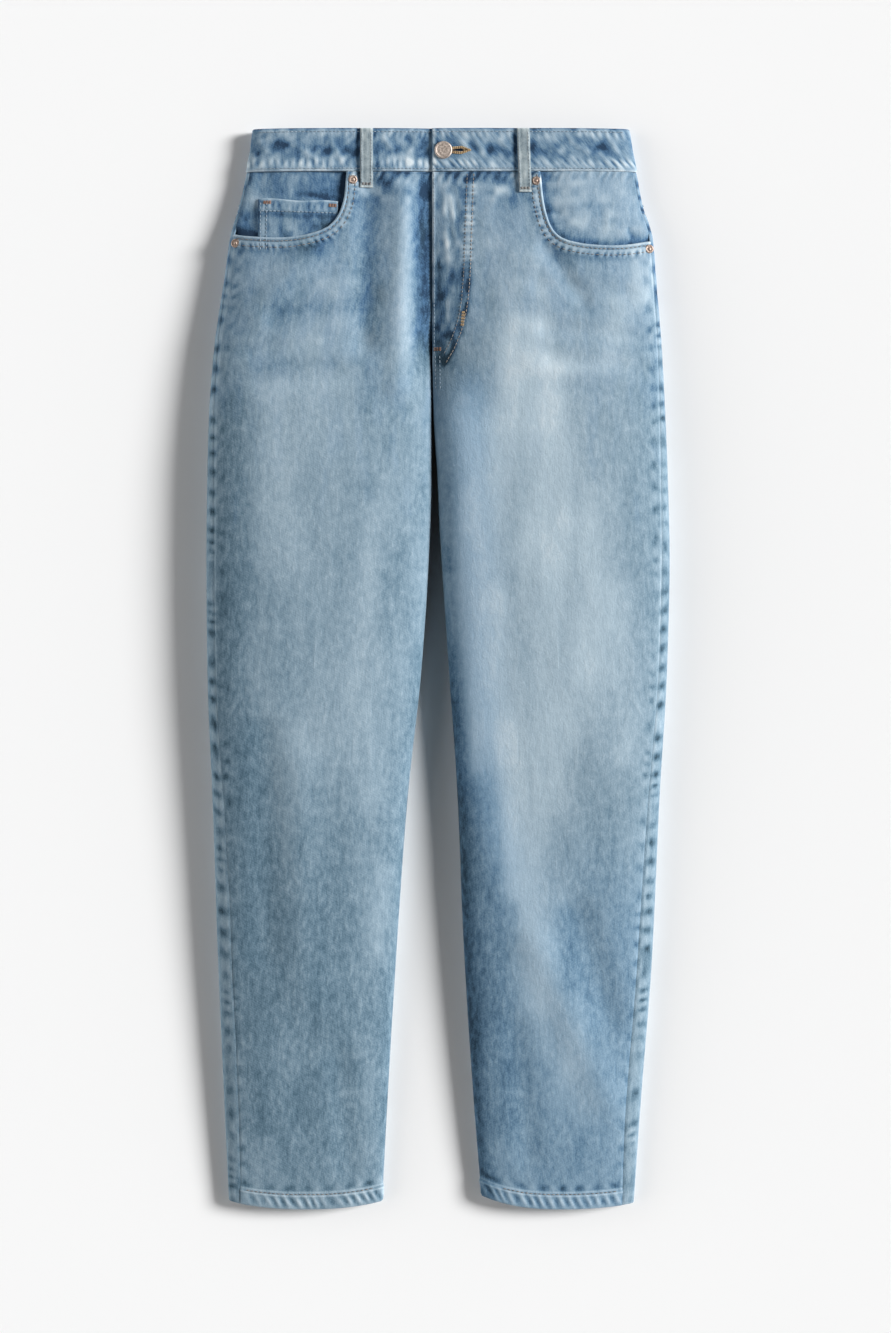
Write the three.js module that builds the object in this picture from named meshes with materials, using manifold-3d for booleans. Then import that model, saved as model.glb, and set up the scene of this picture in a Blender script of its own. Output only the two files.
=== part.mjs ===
// A pair of high-waisted denim jeans, laid flat on its back with a little air between the panels.
// Millimetres, +Z up. +Y runs from the hems to the waist, +X is to the right when seen from above.
// The origin is under the middle of the garment, on the surface that it lies on.
// "left" and "right" are the wearer's, so the right leg lies on the -X side.
import * as THREE from "three";
import { mergeVertices } from "three/addons/utils/BufferGeometryUtils.js";
import Module from "manifold-3d";

const wasm = await Module();
wasm.setup();

// Driving sizes of the garment
const HALF_LENGTH = 500; // half of the length from the waistband's top edge to the hems
const WAIST_SEAM = 460; // y of the seam between waistband and panels
const DENIM = 1.4; // wall of one layer of denim
const GAP = 0.3; // between pieces that are sewn together
const SIDE_GAP = 0.5; // how far back and hip pieces end before the side seam
const LAP_X = -5.5; // x of the fly's folded edge, which is the centre front
const BACK_X = -3; // x of the centre back seam
const BAND = { out: 0.8, thick: 3, lap: 0.6, lapEnd: 42, lapRamp: 16, under: 38 };
const HEM = { height: 14, extra: 1.2, ramp: 4 };
const HEM_RISE = { right: { inner: 7, outer: 7 }, left: { inner: 12, outer: 5 }, from: -380 };
const LOOP = { width: 12, thick: 1.6, clear: 0.45 };
const RIVET = { radius: 3.8, height: 1.5 };
const BUTTON = { x: 5, y: 479.5, radius: 8, height: 2.4, shank: 1.7 };
const BUTTONHOLE = { start: 1, end: 27, width: 4 };

// The laid shape, a row for each section across the garment. Right and left columns are measured
// outwards from x = 0 towards that side. inner is the edge at the centre front and then the inseam.
// crown is the height of the front, edge and inseam the heights where front and back meet, tuck
// how much lower the right front lies than the left at the centre front, seam the distance of the
// side seam from the outer edge, and lift the height of the back's underside.
const SECTIONS = table(
  [
    ...["y", "outerRight", "innerRight", "innerLeft", "outerLeft"],
    ...["crown", "edge", "inseam", "tuck", "seam", "lift"],
  ],
  [
    [500, 171.0, 0.5, -5.5, 176.5, 20, 10, 18.5, 3, 3, 2.4],
    [460, 177.4, 0.5, -5.5, 183.9, 22, 10.5, 19.5, 3, 3, 2.4],
    [430, 184.0, 0.5, -5.5, 189.5, 26, 11, 20, 4, 3, 2.4],
    [400, 192.6, 0.5, -5.5, 198.7, 30, 12, 20.5, 4.5, 3, 1.6],
    [360, 198.2, 0.5, -5.5, 202.2, 34, 13.5, 21, 4.5, 3, 1.6],
    [330, 202.8, 0.5, -5.5, 204.6, 36, 14.3, 20.6, 4, 3.5, 1.6],
    [300, 207.0, 5.8, -5.5, 207.0, 38, 15, 19, 2.5, 4, 1.6],
    [235, 212.0, 5.3, -4.9, 210.4, 41, 16, 16, 0.3, 5.5, 1.6],
    [180, 213.6, 5.4, -1.4, 212.6, 43, 17, 15.5, 0, 7, 1.2],
    [100, 214.4, 8.0, 2.8, 214.4, 43, 17, 15, 0, 8, 0],
    [0, 213.6, 14.8, 9.5, 212.0, 41, 16.5, 14.5, 0, 8.5, 0],
    [-120, 208.8, 27.7, 17.6, 205.1, 37, 15, 13.5, 0, 11, 0],
    [-260, 204.2, 38.0, 23.5, 198.7, 31, 13, 12, 0, 14, 0],
    [-400, 198.2, 46.4, 32.5, 188.0, 24, 10.5, 9.5, 0, 14, 0],
    [-500, 193.6, 51.7, 40.7, 181.1, 17, 8, 7.5, 0, 11, 0],
  ],
);
const LEG_STARTS = 300; // above this y the two front halves lie as one body
const LEG_WHOLE = 205; // below this y each leg is a tube of its own
const ROUND_POWER = 2.6; // squareness of the rounded front of each leg
const FALL_POWER = { right: 3.2, left: 2.6 }; // how steeply each front falls to the centre front

// The largest folds of the front, each a soft ridge or, with a negative height, a trough.
const FOLDS = table(
  ["x0", "y0", "x1", "y1", "height", "width"],
  [
    [-31, 440, -34, 262, 5, 14], // roll beside the fly
    [-64, 448, -67, 300, -4, 13], // hollow beside that roll
    [-118, 385, -168, 330, 2, 14], // soft puff under the right pocket
    [100, 388, 132, 342, -2.5, 9], // drag line from the left pocket's corner
    [95, 352, 172, 348, -1.6, 9], // three creases across the left hip
    [100, 313, 200, 305, -1.8, 9],
    [105, 284, 196, 277, -1.4, 9],
    [-60, 345, -150, 322, -1.6, 9], // and three across the right hip
    [-70, 305, -170, 290, -1.6, 9],
    [-70, 270, -165, 262, -1.2, 9],
    [92, -255, 155, -395, 3, 17], // long slanting folds of the left shin
    [128, -225, 158, -320, -3, 16],
    [70, -330, 84, -450, -1.6, 14],
    [-128, -90, -122, -300, 2, 18], // and of the right shin
    [-160, -60, -158, -260, -2, 16],
    [-92, -360, -84, -460, -1.6, 13],
  ],
);

// Pocket openings: points of the front panel's cut edge, from the waist seam to the side seam.
const POCKET = {
  right: table(["x", "y"], [
    [-84.5, 462], [-87.6, 431.6], [-96.7, 412.5], [-113.7, 402.7], [-140.6, 398], [-173, 399.4],
    [-192, 402.5],
  ]),
  left: table(["x", "y"], [
    [94.4, 462], [99, 424.6], [109, 401.6], [130.5, 392.7], [167.2, 390.9], [201.5, 396.5],
  ]),
};
const FACING = { right: { depth: 3.8, start: 62 }, left: { depth: 1.8, start: 72 }, bottom: 366, rise: 1.8 };
const COIN_POCKET = { left: -166.3, right: -92.4, top: 434.5, bottom: 380, thick: 1.2, tilt: -3, clear: 0.5 };
const ZIP = { depth: 1.9, thick: 1.2, start: 0.3, end: 26, bottom: 304 };
const SHIELD = { depth: 3.7, thick: 1.4, start: 0.3, end: 32, bottom: 300 };
const FRONT_LOOPS = { right: [-66, -66, 445], left: [78.7, 80.6, 440.5] }; // x at top, x at end, y of end
const BACK_LOOPS = { back_right: -118, centre_back: BACK_X, back_left: 118 };
const YOKE = { side: 422, centre: 392 }; // y of the seam under the yoke
const BACK_POCKET = { across: 104, top: 374, width: 142, foot: 120, side: 128, point: 150, thick: 1.2 };
const RIVETS = table(
  ["name", "side", "x", "y"],
  [
    ["rivet_right_top", "right", -78.6, 452],
    ["rivet_right_side", "right", -187.2, 393.4],
    ["rivet_left_top", "left", 90.6, 450.8],
    ["rivet_left_side", "left", 195.2, 388.2],
  ],
);
const COLOURS = { denim: 0x8fa9bd, pale: 0xa9bccb, dark: 0x54708a, lining: 0x6f889c, metal: 0xb08d78 };
const SIGN = { right: -1, left: 1 };

function table(columns, rows) {
  return rows.map((row) => Object.fromEntries(columns.map((name, i) => [name, row[i]])));
}

function clamp01(v) {
  return Math.min(1, Math.max(0, v));
}

function smooth(from, to, v) {
  const t = clamp01((v - from) / (to - from));
  return t * t * (3 - 2 * t);
}

// One column of the sections at any y, on a cubic that never overshoots its rows.
function section(name, y) {
  const last = SECTIONS.length - 1;
  const at = Math.min(Math.max(y, SECTIONS[last].y), SECTIONS[0].y);
  let k = 0;
  while (k < last - 1 && SECTIONS[k + 1].y > at) k++;
  const slope = (i) => (SECTIONS[i + 1][name] - SECTIONS[i][name]) / (SECTIONS[i + 1].y - SECTIONS[i].y);
  const tangent = (i) => {
    if (i === 0 || i === last) return slope(i === 0 ? 0 : last - 1);
    const [before, after] = [slope(i - 1), slope(i)];
    return before * after <= 0 ? 0 : (2 * before * after) / (before + after);
  };
  const [a, b] = [SECTIONS[k], SECTIONS[k + 1]];
  const span = b.y - a.y;
  const t = (at - a.y) / span;
  const [t2, t3] = [t * t, t * t * t];
  return (
    (2 * t3 - 3 * t2 + 1) * a[name] +
    (t3 - 2 * t2 + t) * span * tangent(k) +
    (3 * t2 - 2 * t3) * b[name] +
    (t3 - t2) * span * tangent(k + 1)
  );
}

// The numbers of one side's section at y, with distances measured outwards from x = 0.
function frameAt(side, y) {
  const name = side === "right" ? "Right" : "Left";
  const inner = section("inner" + name, y);
  const outer = section("outer" + name, y);
  return {
    inner,
    outer,
    middle: (inner + outer) / 2,
    crown: section("crown", y),
    edge: section("edge", y),
    inseam: section("inseam", y) - (side === "right" ? section("tuck", y) : 0),
    seam: outer - section("seam", y),
    lift: section("lift", y),
    leg: 1 - smooth(LEG_WHOLE, LEG_STARTS, y),
  };
}

// Height that the folds add at a place, fading towards the panel's edges.
function foldHeight(x, y) {
  let sum = 0;
  for (const f of FOLDS) {
    const [dx, dy] = [f.x1 - f.x0, f.y1 - f.y0];
    const along = clamp01(((x - f.x0) * dx + (y - f.y0) * dy) / (dx * dx + dy * dy));
    const away = Math.hypot(x - f.x0 - along * dx, y - f.y0 - along * dy) / f.width;
    sum += f.height * Math.exp(-away * away);
  }
  return sum;
}

// Height of the front's outer face, a share s of the way from its crown to an edge.
function frontHeight(side, f, s, inwards, x, y) {
  const round = Math.sqrt(Math.max(0, 1 - s ** ROUND_POWER));
  const fall = 1 - s ** FALL_POWER[side];
  const base = inwards ? f.inseam : f.edge;
  const share = inwards ? f.leg * round + (1 - f.leg) * fall : round;
  return base + (f.crown - base) * share + foldHeight(x, y) * (1 - s ** 6);
}

// A point of the front's outer face. w runs from -1 at the inner edge over 0 at the crown to 1 at
// the outer edge, as an angle does, so that points crowd where the cloth turns.
function frontPoint(side, w, y) {
  const f = frameAt(side, y);
  const s = Math.sin((Math.abs(w) * Math.PI) / 2);
  const across = f.middle + s * ((w < 0 ? f.inner : f.outer) - f.middle);
  const x = SIGN[side] * across;
  return new THREE.Vector3(x, y, frontHeight(side, f, s, w < 0, x, y));
}

// The w of the front at a place seen from above.
function frontParameter(side, x, y) {
  const f = frameAt(side, y);
  const across = SIGN[side] * x;
  const inwards = across < f.middle;
  const s = clamp01((across - f.middle) / ((inwards ? f.inner : f.outer) - f.middle));
  return ((inwards ? -1 : 1) * Math.asin(s)) / (Math.PI / 2);
}

function sideSeam(side, y) {
  return frontParameter(side, SIGN[side] * frameAt(side, y).seam, y);
}

// A point of the back's outer face. w runs 0 to 1 from the side seam to the outer edge, to 2 down
// to the underside, to 3 along it, and to 4 up to the inseam, or on to the centre back.
function backPoint(side, w, y) {
  const f = frameAt(side, y);
  if (w < 1) return frontPoint(side, sideSeam(side, y) + w * (1 - sideSeam(side, y)), y);
  const rise = f.lift + f.leg * (f.inseam - f.lift);
  const inner = f.leg * f.inner + (1 - f.leg) * SIGN[side] * BACK_X;
  const innerRound = 4 + 10 * f.leg;
  const turn = (clamp01(w < 2 ? w - 1 : w - 3) * Math.PI) / 2;
  let across;
  let z = f.lift;
  if (w < 2) {
    across = f.outer - f.edge * (1 - Math.cos(turn));
    z = f.edge - (f.edge - f.lift) * Math.sin(turn);
  } else if (w < 3) {
    across = f.outer - f.edge + (w - 2) * (inner + innerRound - f.outer + f.edge);
  } else {
    across = inner + innerRound * (1 - Math.sin(turn));
    z = f.lift + (rise - f.lift) * (1 - Math.cos(turn));
  }
  return new THREE.Vector3(SIGN[side] * across, y, z);
}

// Outward unit normal of a surface given as a function of two parameters, by differences.
function normalOf(surface, a, b, stepA, stepB, range) {
  const low = surface(Math.max(a - stepA, range[0]), b);
  const high = surface(Math.min(a + stepA, range[1]), b);
  const down = surface(a, b - stepB);
  const up = surface(a, b + stepB);
  return high.sub(low).cross(up.sub(down)).normalize();
}

// A closed wall between two copies of a grid of points, each moved inwards along its normal.
// grid[i][j] is {point, normal}; outer and inner give the depth of each copy at [i][j].
function wall(grid, outer, inner) {
  const [ni, nj] = [grid.length, grid[0].length];
  const positions = [];
  for (const depth of [outer, inner])
    grid.forEach((line, i) =>
      line.forEach(({ point, normal }, j) =>
        positions.push(...point.clone().addScaledVector(normal, -depth(i, j)).toArray()),
      ),
    );
  const at = (layer, i, j) => layer * ni * nj + i * nj + j;
  const index = [];
  const quad = (a, b, c, d) => index.push(a, b, c, a, c, d);
  for (let i = 0; i + 1 < ni; i++)
    for (let j = 0; j + 1 < nj; j++) {
      quad(at(0, i, j), at(0, i + 1, j), at(0, i + 1, j + 1), at(0, i, j + 1));
      quad(at(1, i, j), at(1, i, j + 1), at(1, i + 1, j + 1), at(1, i + 1, j));
    }
  for (let i = 0; i + 1 < ni; i++) {
    quad(at(0, i, 0), at(1, i, 0), at(1, i + 1, 0), at(0, i + 1, 0));
    quad(at(0, i, nj - 1), at(0, i + 1, nj - 1), at(1, i + 1, nj - 1), at(1, i, nj - 1));
  }
  for (let j = 0; j + 1 < nj; j++) {
    quad(at(0, 0, j), at(0, 0, j + 1), at(1, 0, j + 1), at(1, 0, j));
    quad(at(0, ni - 1, j), at(1, ni - 1, j), at(1, ni - 1, j + 1), at(0, ni - 1, j + 1));
  }
  return facingOut(geometryOf(positions, index));
}

function geometryOf(positions, index) {
  const geometry = new THREE.BufferGeometry();
  geometry.setAttribute("position", new THREE.Float32BufferAttribute(positions, 3));
  geometry.setIndex(index);
  return geometry;
}

// Turns the faces of a closed mesh round if it encloses a negative volume.
function facingOut(geometry) {
  const p = geometry.getAttribute("position");
  const index = geometry.getIndex().array;
  const corner = (i) => new THREE.Vector3().fromBufferAttribute(p, index[i]);
  let volume = 0;
  for (let i = 0; i < index.length; i += 3) volume += corner(i).dot(corner(i + 1).cross(corner(i + 2)));
  if (volume < 0)
    for (let i = 0; i < index.length; i += 3) [index[i], index[i + 1]] = [index[i + 1], index[i]];
  return geometry;
}

// Draws the four edges of a grid back towards their neighbours, each by its own distance.
function trimmed(grid, { first = GAP / 2, last = GAP / 2, top = GAP / 2, bottom = GAP / 2 } = {}) {
  const pull = (edge, next, distance) => {
    edge.point.addScaledVector(next.point.clone().sub(edge.point).normalize(), distance);
  };
  const [ni, nj] = [grid.length, grid[0].length];
  for (let j = 0; j < nj; j++) {
    pull(grid[0][j], grid[1][j], first);
    pull(grid[ni - 1][j], grid[ni - 2][j], last);
  }
  for (let i = 0; i < ni; i++) {
    pull(grid[i][0], grid[i][1], top);
    pull(grid[i][nj - 1], grid[i][nj - 2], bottom);
  }
  return grid;
}

function toSolid(geometry) {
  const plain = geometry.clone();
  plain.deleteAttribute("normal");
  plain.deleteAttribute("uv");
  const merged = mergeVertices(plain, 1e-3);
  return new wasm.Manifold(
    new wasm.Mesh({
      numProp: 3,
      vertProperties: new Float32Array(merged.getAttribute("position").array),
      triVerts: new Uint32Array(merged.getIndex().array),
    }),
  );
}

function fromSolid(solid) {
  const mesh = solid.getMesh();
  return geometryOf(Array.from(mesh.vertProperties), Array.from(mesh.triVerts));
}

function cut(geometry, cutter) {
  return fromSolid(toSolid(geometry).subtract(toSolid(cutter)));
}

// An upright block with the given outline, for cutting, between two heights.
function block(outline, low, high) {
  const shape = new THREE.Shape(outline.map(([x, y]) => new THREE.Vector2(x, y)));
  return new THREE.ExtrudeGeometry(shape, { depth: high - low, bevelEnabled: false }).translate(0, 0, low);
}

function evenly(from, to, count) {
  return Array.from({ length: count + 1 }, (_, i) => from + ((to - from) * i) / count);
}

// Rows of a leg panel from its top to the hem: close over the hip and crotch, wider below.
const HIP_END = 186;
const HEM_LINE = -HALF_LENGTH + HEM.height;

function legRows(top, hipSpacing, legSpacing) {
  const hip = evenly(top, HIP_END, Math.round((top - HIP_END) / hipSpacing));
  const leg = evenly(HIP_END, -466, Math.round((HIP_END + 466) / legSpacing)).slice(1);
  return [...hip, ...leg, HEM_LINE + HEM.ramp, HEM_LINE, -HALF_LENGTH];
}

// How far the curved hem stays above its lowest point, at a distance across the leg.
function hemRise(side, across, y) {
  const f = frameAt(side, y);
  const share = (across - f.middle) / (f.outer - f.middle);
  const rise = share < 0 ? HEM_RISE[side].inner : HEM_RISE[side].outer;
  return rise * Math.abs(share) ** 2.4 * smooth(HEM_RISE.from, -HALF_LENGTH, y);
}

// Thickness of a leg panel's wall: the folded hem is thicker, but not where the panels meet.
function hemDepth(y, share) {
  const fold = 1 - smooth(HEM_LINE, HEM_LINE + HEM.ramp, y);
  return DENIM + HEM.extra * fold * Math.min(1, 5 * share, 5 * (1 - share));
}

// The grid of one side's surface: a line for each function in lines, which gives the parameter
// across at y, and the given rows. shift moves a row of one line up or down.
function surfaceGrid(side, at, lines, rows, range, shift = (i, y) => y) {
  return lines.map((line, i) =>
    rows.map((row) => {
      const level = shift(i, row);
      const y = level + hemRise(side, SIGN[side] * at(side, line(level), level).x, level);
      const w = line(y);
      const surface = (a, b) => at(side, a, b);
      const normal = normalOf(surface, w, y, 0.01, 1, range).multiplyScalar(SIGN[side]);
      return { point: at(side, w, y), normal, y };
    }),
  );
}

function panelWall(grid) {
  return wall(grid, () => 0, (i, j) => hemDepth(grid[i][j].y, i / (grid.length - 1)));
}

// Front panels

const FRONT_LINES = 14;

function frontLines(side) {
  return evenly(0, 1, FRONT_LINES).map((share) => (y) => -1 + share * (1 + sideSeam(side, y)));
}

function frontGrid(side, rows) {
  return surfaceGrid(side, frontPoint, frontLines(side), rows, [-1, 1]);
}

const FRONT_ROWS = legRows(WAIST_SEAM, 15, 40);
const BAND_ROWS = [HALF_LENGTH, (HALF_LENGTH + WAIST_SEAM) / 2, WAIST_SEAM + GAP / 2];

function pocketCurve(side) {
  const points = POCKET[side].map(({ x, y }) => new THREE.Vector2(x, y));
  return new THREE.SplineCurve(points).getPoints(20).map((p) => [p.x, p.y]);
}

function frontPanel(side) {
  const panel = panelWall(trimmed(frontGrid(side, FRONT_ROWS), { bottom: 0 }));
  const edge = pocketCurve(side);
  const far = SIGN[side] * 260;
  const outline = [...edge, [far, edge[edge.length - 1][1]], [far, 520], [edge[0][0], 520]];
  return cut(panel, block(side === "right" ? outline.reverse() : outline, -20, 80));
}

// Back panels and yokes

const BACK_LINES = [...evenly(0, 1, 2), 1.33, 1.67, 2, ...evenly(2.25, 3, 3), 3.33, 3.67, 4];
const BACK_ROWS = legRows(YOKE.centre, 26, 52);

// The y of the seam under the yoke on each line of the back.
function yokeSeams(side) {
  const level = (YOKE.side + YOKE.centre) / 2;
  return BACK_LINES.map((w) => {
    const share = clamp01((SIGN[side] * backPoint(side, w, level).x) / frameAt(side, level).outer);
    return YOKE.centre + (YOKE.side - YOKE.centre) * share;
  });
}

function backPanel(side) {
  const lines = BACK_LINES.map((w) => () => w);
  const tops = yokeSeams(side);
  const stretch = (i, y) =>
    y < HIP_END ? y : HIP_END + ((y - HIP_END) / (YOKE.centre - HIP_END)) * (tops[i] - HIP_END);
  const grid = surfaceGrid(side, backPoint, lines, BACK_ROWS, [0, 4], stretch);
  return panelWall(trimmed(grid, { first: SIDE_GAP, bottom: 0 }));
}

function yoke(side) {
  const lines = BACK_LINES.map((w) => () => w);
  const seams = yokeSeams(side);
  const spread = (i, share) => WAIST_SEAM + (seams[i] - WAIST_SEAM) * share;
  const grid = surfaceGrid(side, backPoint, lines, evenly(0, 1, 3), [0, 4], spread);
  return wall(trimmed(grid, { first: SIDE_GAP }), () => 0, () => DENIM);
}

// Pocket facings, which are the hip pieces that show in the pocket openings

function distanceToPocket(side, point) {
  const edge = pocketCurve(side);
  return Math.min(...edge.map(([x, y]) => Math.hypot(point.x - x, point.y - y)));
}

// Depth of a facing under the front's outer face: full under the front, and shallow in the open.
function facingDepth(side, point) {
  const { depth } = FACING[side];
  const edge = pocketCurve(side);
  const passed = edge.filter(([x]) => SIGN[side] * x <= SIGN[side] * point.x);
  const open = passed.length > 0 && point.y > passed[passed.length - 1][1];
  return open ? depth - FACING.rise * smooth(5, 30, distanceToPocket(side, point)) : depth;
}

function facingGrid(side) {
  const grid = frontGrid(side, FRONT_ROWS.filter((y) => y > FACING.bottom));
  return grid.filter((line) => SIGN[side] * line[0].point.x > FACING[side].start);
}

function facing(side) {
  const grid = facingGrid(side);
  const depths = grid.map((line) => line.map(({ point }) => facingDepth(side, point)));
  trimmed(grid, { first: 0, last: SIDE_GAP, bottom: 0 });
  return wall(grid, (i, j) => depths[i][j], (i, j) => depths[i][j] + DENIM);
}

// Small pieces that lie on the front or under the back

const SURFACE = Object.fromEntries(
  ["right", "left"].map((side) => [side, frontGrid(side, [...BAND_ROWS, ...FRONT_ROWS])]),
);

// Height of a faceted face at a place seen from above, from the facets' own corners.
function facetHeight(grid, side, x, y) {
  const across = SIGN[side] * x;
  const rows = grid[0].length;
  const nextRow = Math.max(1, grid[0].findIndex((corner) => corner.y <= y));
  const onRow = (j) => {
    const line = grid.findIndex((corners) => SIGN[side] * corners[j].point.x >= across);
    const i = line < 0 ? grid.length - 1 : Math.max(1, line);
    const [a, b] = [grid[i - 1][j].point, grid[i][j].point];
    return a.z + clamp01((x - a.x) / (b.x - a.x)) * (b.z - a.z);
  };
  const j = Math.min(nextRow, rows - 1);
  const share = clamp01((grid[0][j - 1].y - y) / (grid[0][j - 1].y - grid[0][j].y));
  return onRow(j - 1) + share * (onRow(j) - onRow(j - 1));
}

// The front's outer face, or another one, as seen from above: a point and a normal.
function frontAt(side, x, y, grid = SURFACE[side]) {
  const z = (px, py) => facetHeight(grid, side, px, py);
  const normal = new THREE.Vector3(z(x - 2, y) - z(x + 2, y), z(x, y - 2) - z(x, y + 2), 4).normalize();
  return { point: new THREE.Vector3(x, y, z(x, y)), normal };
}

function coinPocket() {
  const { left, right, top, bottom, thick, tilt, clear } = COIN_POCKET;
  const base = facingGrid("right").map((line) =>
    line.map(({ point, normal, y }) => ({
      point: point.clone().addScaledVector(normal, -facingDepth("right", point)),
      y,
    })),
  );
  const grid = evenly(left, right, 10).map((x) => {
    const share = (x - left) / (right - left);
    return evenly(top + tilt * share, bottom, 6).map((y) => frontAt("right", x, y, base));
  });
  return wall(grid, () => -clear - thick, () => -clear);
}

function beltLoop([topX, endX, endY], side) {
  const rows = evenly(HALF_LENGTH - 0.4, endY, 10);
  const grid = evenly(-LOOP.width / 2, LOOP.width / 2, 3).map((offset) =>
    rows.map((y) => {
      const share = (rows[0] - y) / (rows[0] - endY);
      return { ...frontAt(side, topX + (endX - topX) * share + offset, y), y };
    }),
  );
  const raise = (y) => LOOP.clear + BAND.out * smooth(WAIST_SEAM - 8, WAIST_SEAM - 2, y);
  return wall(grid, (i, j) => -raise(grid[i][j].y) - LOOP.thick, (i, j) => -raise(grid[i][j].y));
}

// A flat patch under the back, from z = low up to the given top, with an outline of its own.
function patchUnder(points, low, high) {
  const grid = points.map((line) =>
    line.map(([x, y]) => ({ point: new THREE.Vector3(x, y, low), normal: new THREE.Vector3(0, 0, -1) })),
  );
  return wall(grid, () => 0, () => high - low);
}

function backLoop(x) {
  const points = evenly(-LOOP.width / 2, LOOP.width / 2, 2).map((offset) =>
    evenly(HALF_LENGTH - 0.4, HALF_LENGTH - 56, 4).map((y) => [x + offset, y]),
  );
  return patchUnder(points, 0, section("lift", HALF_LENGTH) - BAND.out - GAP);
}

function backPocket(side) {
  const { across, top, width, foot, side: edge, point } = BACK_POCKET;
  const points = evenly(-1, 1, 6).map((u) =>
    evenly(0, 1, 5).map((v) => {
      const half = (width + (foot - width) * v) / 2;
      const long = edge + (point - edge) * (1 - Math.abs(u));
      return [SIGN[side] * across + u * half, top - v * long];
    }),
  );
  return patchUnder(points, 0, BACK_POCKET.thick);
}

// Fly

// The left front near the centre front, which the zip and the shield lie under. Left of the
// fly's edge it is carried on level, so that the shield reaches under the right front.
function flyAt(x, y) {
  const held = frontAt("left", Math.max(x, LAP_X + 1), y);
  held.point.x = x;
  return held;
}

function underFly({ depth, thick, start, end, bottom }) {
  const grid = evenly(start, end, 5).map((x) => evenly(WAIST_SEAM - GAP, bottom, 11).map((y) => flyAt(x, y)));
  return wall(grid, () => depth, () => depth + thick);
}

// Waistband

// The band's path at y: from the right end under the lap, over the right side, along the back and
// over the left side to the lap's end. Each entry is a point and its outward normal.
function bandPath(y) {
  const right = frameAt("right", y);
  const up = new THREE.Vector3(0, 0, 1);
  const flat = (x) => ({ point: new THREE.Vector3(x, y, right.inseam), normal: up });
  const around = (side, at, lines, range) =>
    surfaceGrid(side, at, lines, [y], range).map(([corner]) => corner);
  const backLines = BACK_LINES.filter((w) => w > 0 && w < 3).map((w) => () => w);
  const front = (side) => around(side, frontPoint, frontLines(side), [-1, 1]);
  const back = (side) => around(side, backPoint, backLines, [0, 4]);
  const path = [...evenly(BAND.under, 5, 3).map(flat), ...front("right"), ...back("right")];
  return [...path, ...back("left").reverse(), ...front("left").reverse()];
}

function waistband() {
  const paths = BAND_ROWS.map(bandPath);
  const count = paths[0].length;
  const overLap = (i, point) =>
    i > count / 2 && point.z > section("edge", point.y)
      ? BAND.lap * (1 - smooth(BAND.lapEnd, BAND.lapEnd + BAND.lapRamp, point.x))
      : 0;
  const grid = paths[0].map((_, i) => paths.map((path) => path[i]));
  const out = (i, j) => -BAND.out - overLap(i, grid[i][j].point);
  const band = wall(grid, out, (i, j) => out(i, j) + BAND.thick);
  return fromSolid(toSolid(band).subtract(buttonhole()));
}

// A slot with round ends through the lap alone, from just above the underlap up past the lap.
function buttonhole() {
  const { start, end, width } = BUTTONHOLE;
  const low = frameAt("right", BUTTON.y).inseam + BAND.out + GAP / 2;
  const high = SECTIONS[0].crown + 2 * BAND.thick;
  const [height, level] = [high - low, (high + low) / 2];
  const rounded = (x) =>
    toSolid(
      new THREE.CylinderGeometry(width / 2, width / 2, height, 12)
        .rotateX(Math.PI / 2)
        .translate(x, BUTTON.y, level),
    );
  const long = end - start - width;
  const straight = new THREE.BoxGeometry(long, width, height);
  const between = toSolid(straight.translate((start + end) / 2, BUTTON.y, level));
  return rounded(start + width / 2).add(rounded(end - width / 2)).add(between);
}

// Metal

function turned(profile, segments) {
  const points = profile.map(([r, z]) => new THREE.Vector2(r, z));
  return new THREE.LatheGeometry(points, segments).rotateX(Math.PI / 2);
}

function rivet() {
  const { radius, height } = RIVET;
  const crown = [radius * 0.6, height];
  return turned([[0, 0], [radius, 0], [radius * 0.96, height * 0.55], crown, [0, height * 1.05]], 14);
}

// The jeans button: its cap on the lap, and its shank down through the buttonhole.
function button(shankLength) {
  const { radius, height, shank } = BUTTON;
  return turned(
    [
      [0, -shankLength],
      [shank, -shankLength],
      [shank, 0],
      [radius * 0.94, 0],
      [radius, height * 0.35],
      [radius * 0.95, height * 0.8],
      [radius * 0.82, height],
      [radius * 0.7, height * 0.72],
      [0, height * 0.62],
    ],
    24,
  );
}

// The garment

const garment = new THREE.Group();

function add(name, geometry, colour, options = {}) {
  const cloth = { color: colour, roughness: 0.9, metalness: 0 };
  const mesh = new THREE.Mesh(geometry, new THREE.MeshStandardMaterial({ ...cloth, ...options }));
  mesh.name = name;
  garment.add(mesh);
  return mesh;
}

function place(mesh, { point, normal }, out) {
  mesh.position.copy(point).addScaledVector(normal, out);
  mesh.quaternion.setFromUnitVectors(new THREE.Vector3(0, 0, 1), normal);
}

for (const side of ["right", "left"]) {
  add(`front_leg_${side}`, frontPanel(side), COLOURS.pale);
  add(`back_leg_${side}`, backPanel(side), COLOURS.denim);
  add(`yoke_${side}`, yoke(side), COLOURS.denim);
  add(`pocket_facing_${side}`, facing(side), COLOURS.denim);
  add(`back_pocket_${side}`, backPocket(side), COLOURS.denim);
  add(`belt_loop_front_${side}`, beltLoop(FRONT_LOOPS[side], side), COLOURS.pale);
}
for (const [name, x] of Object.entries(BACK_LOOPS)) add(`belt_loop_${name}`, backLoop(x), COLOURS.denim);
add("coin_pocket", coinPocket(), COLOURS.dark);
add("zip_tape", underFly(ZIP), COLOURS.dark);
add("fly_shield", underFly(SHIELD), COLOURS.lining);
add("waistband", waistband(), COLOURS.denim);

const METAL = { roughness: 0.4, metalness: 1 };
for (const { name, side, x, y } of RIVETS)
  place(add(name, rivet(), COLOURS.metal, METAL), frontAt(side, x, y), GAP);

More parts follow.
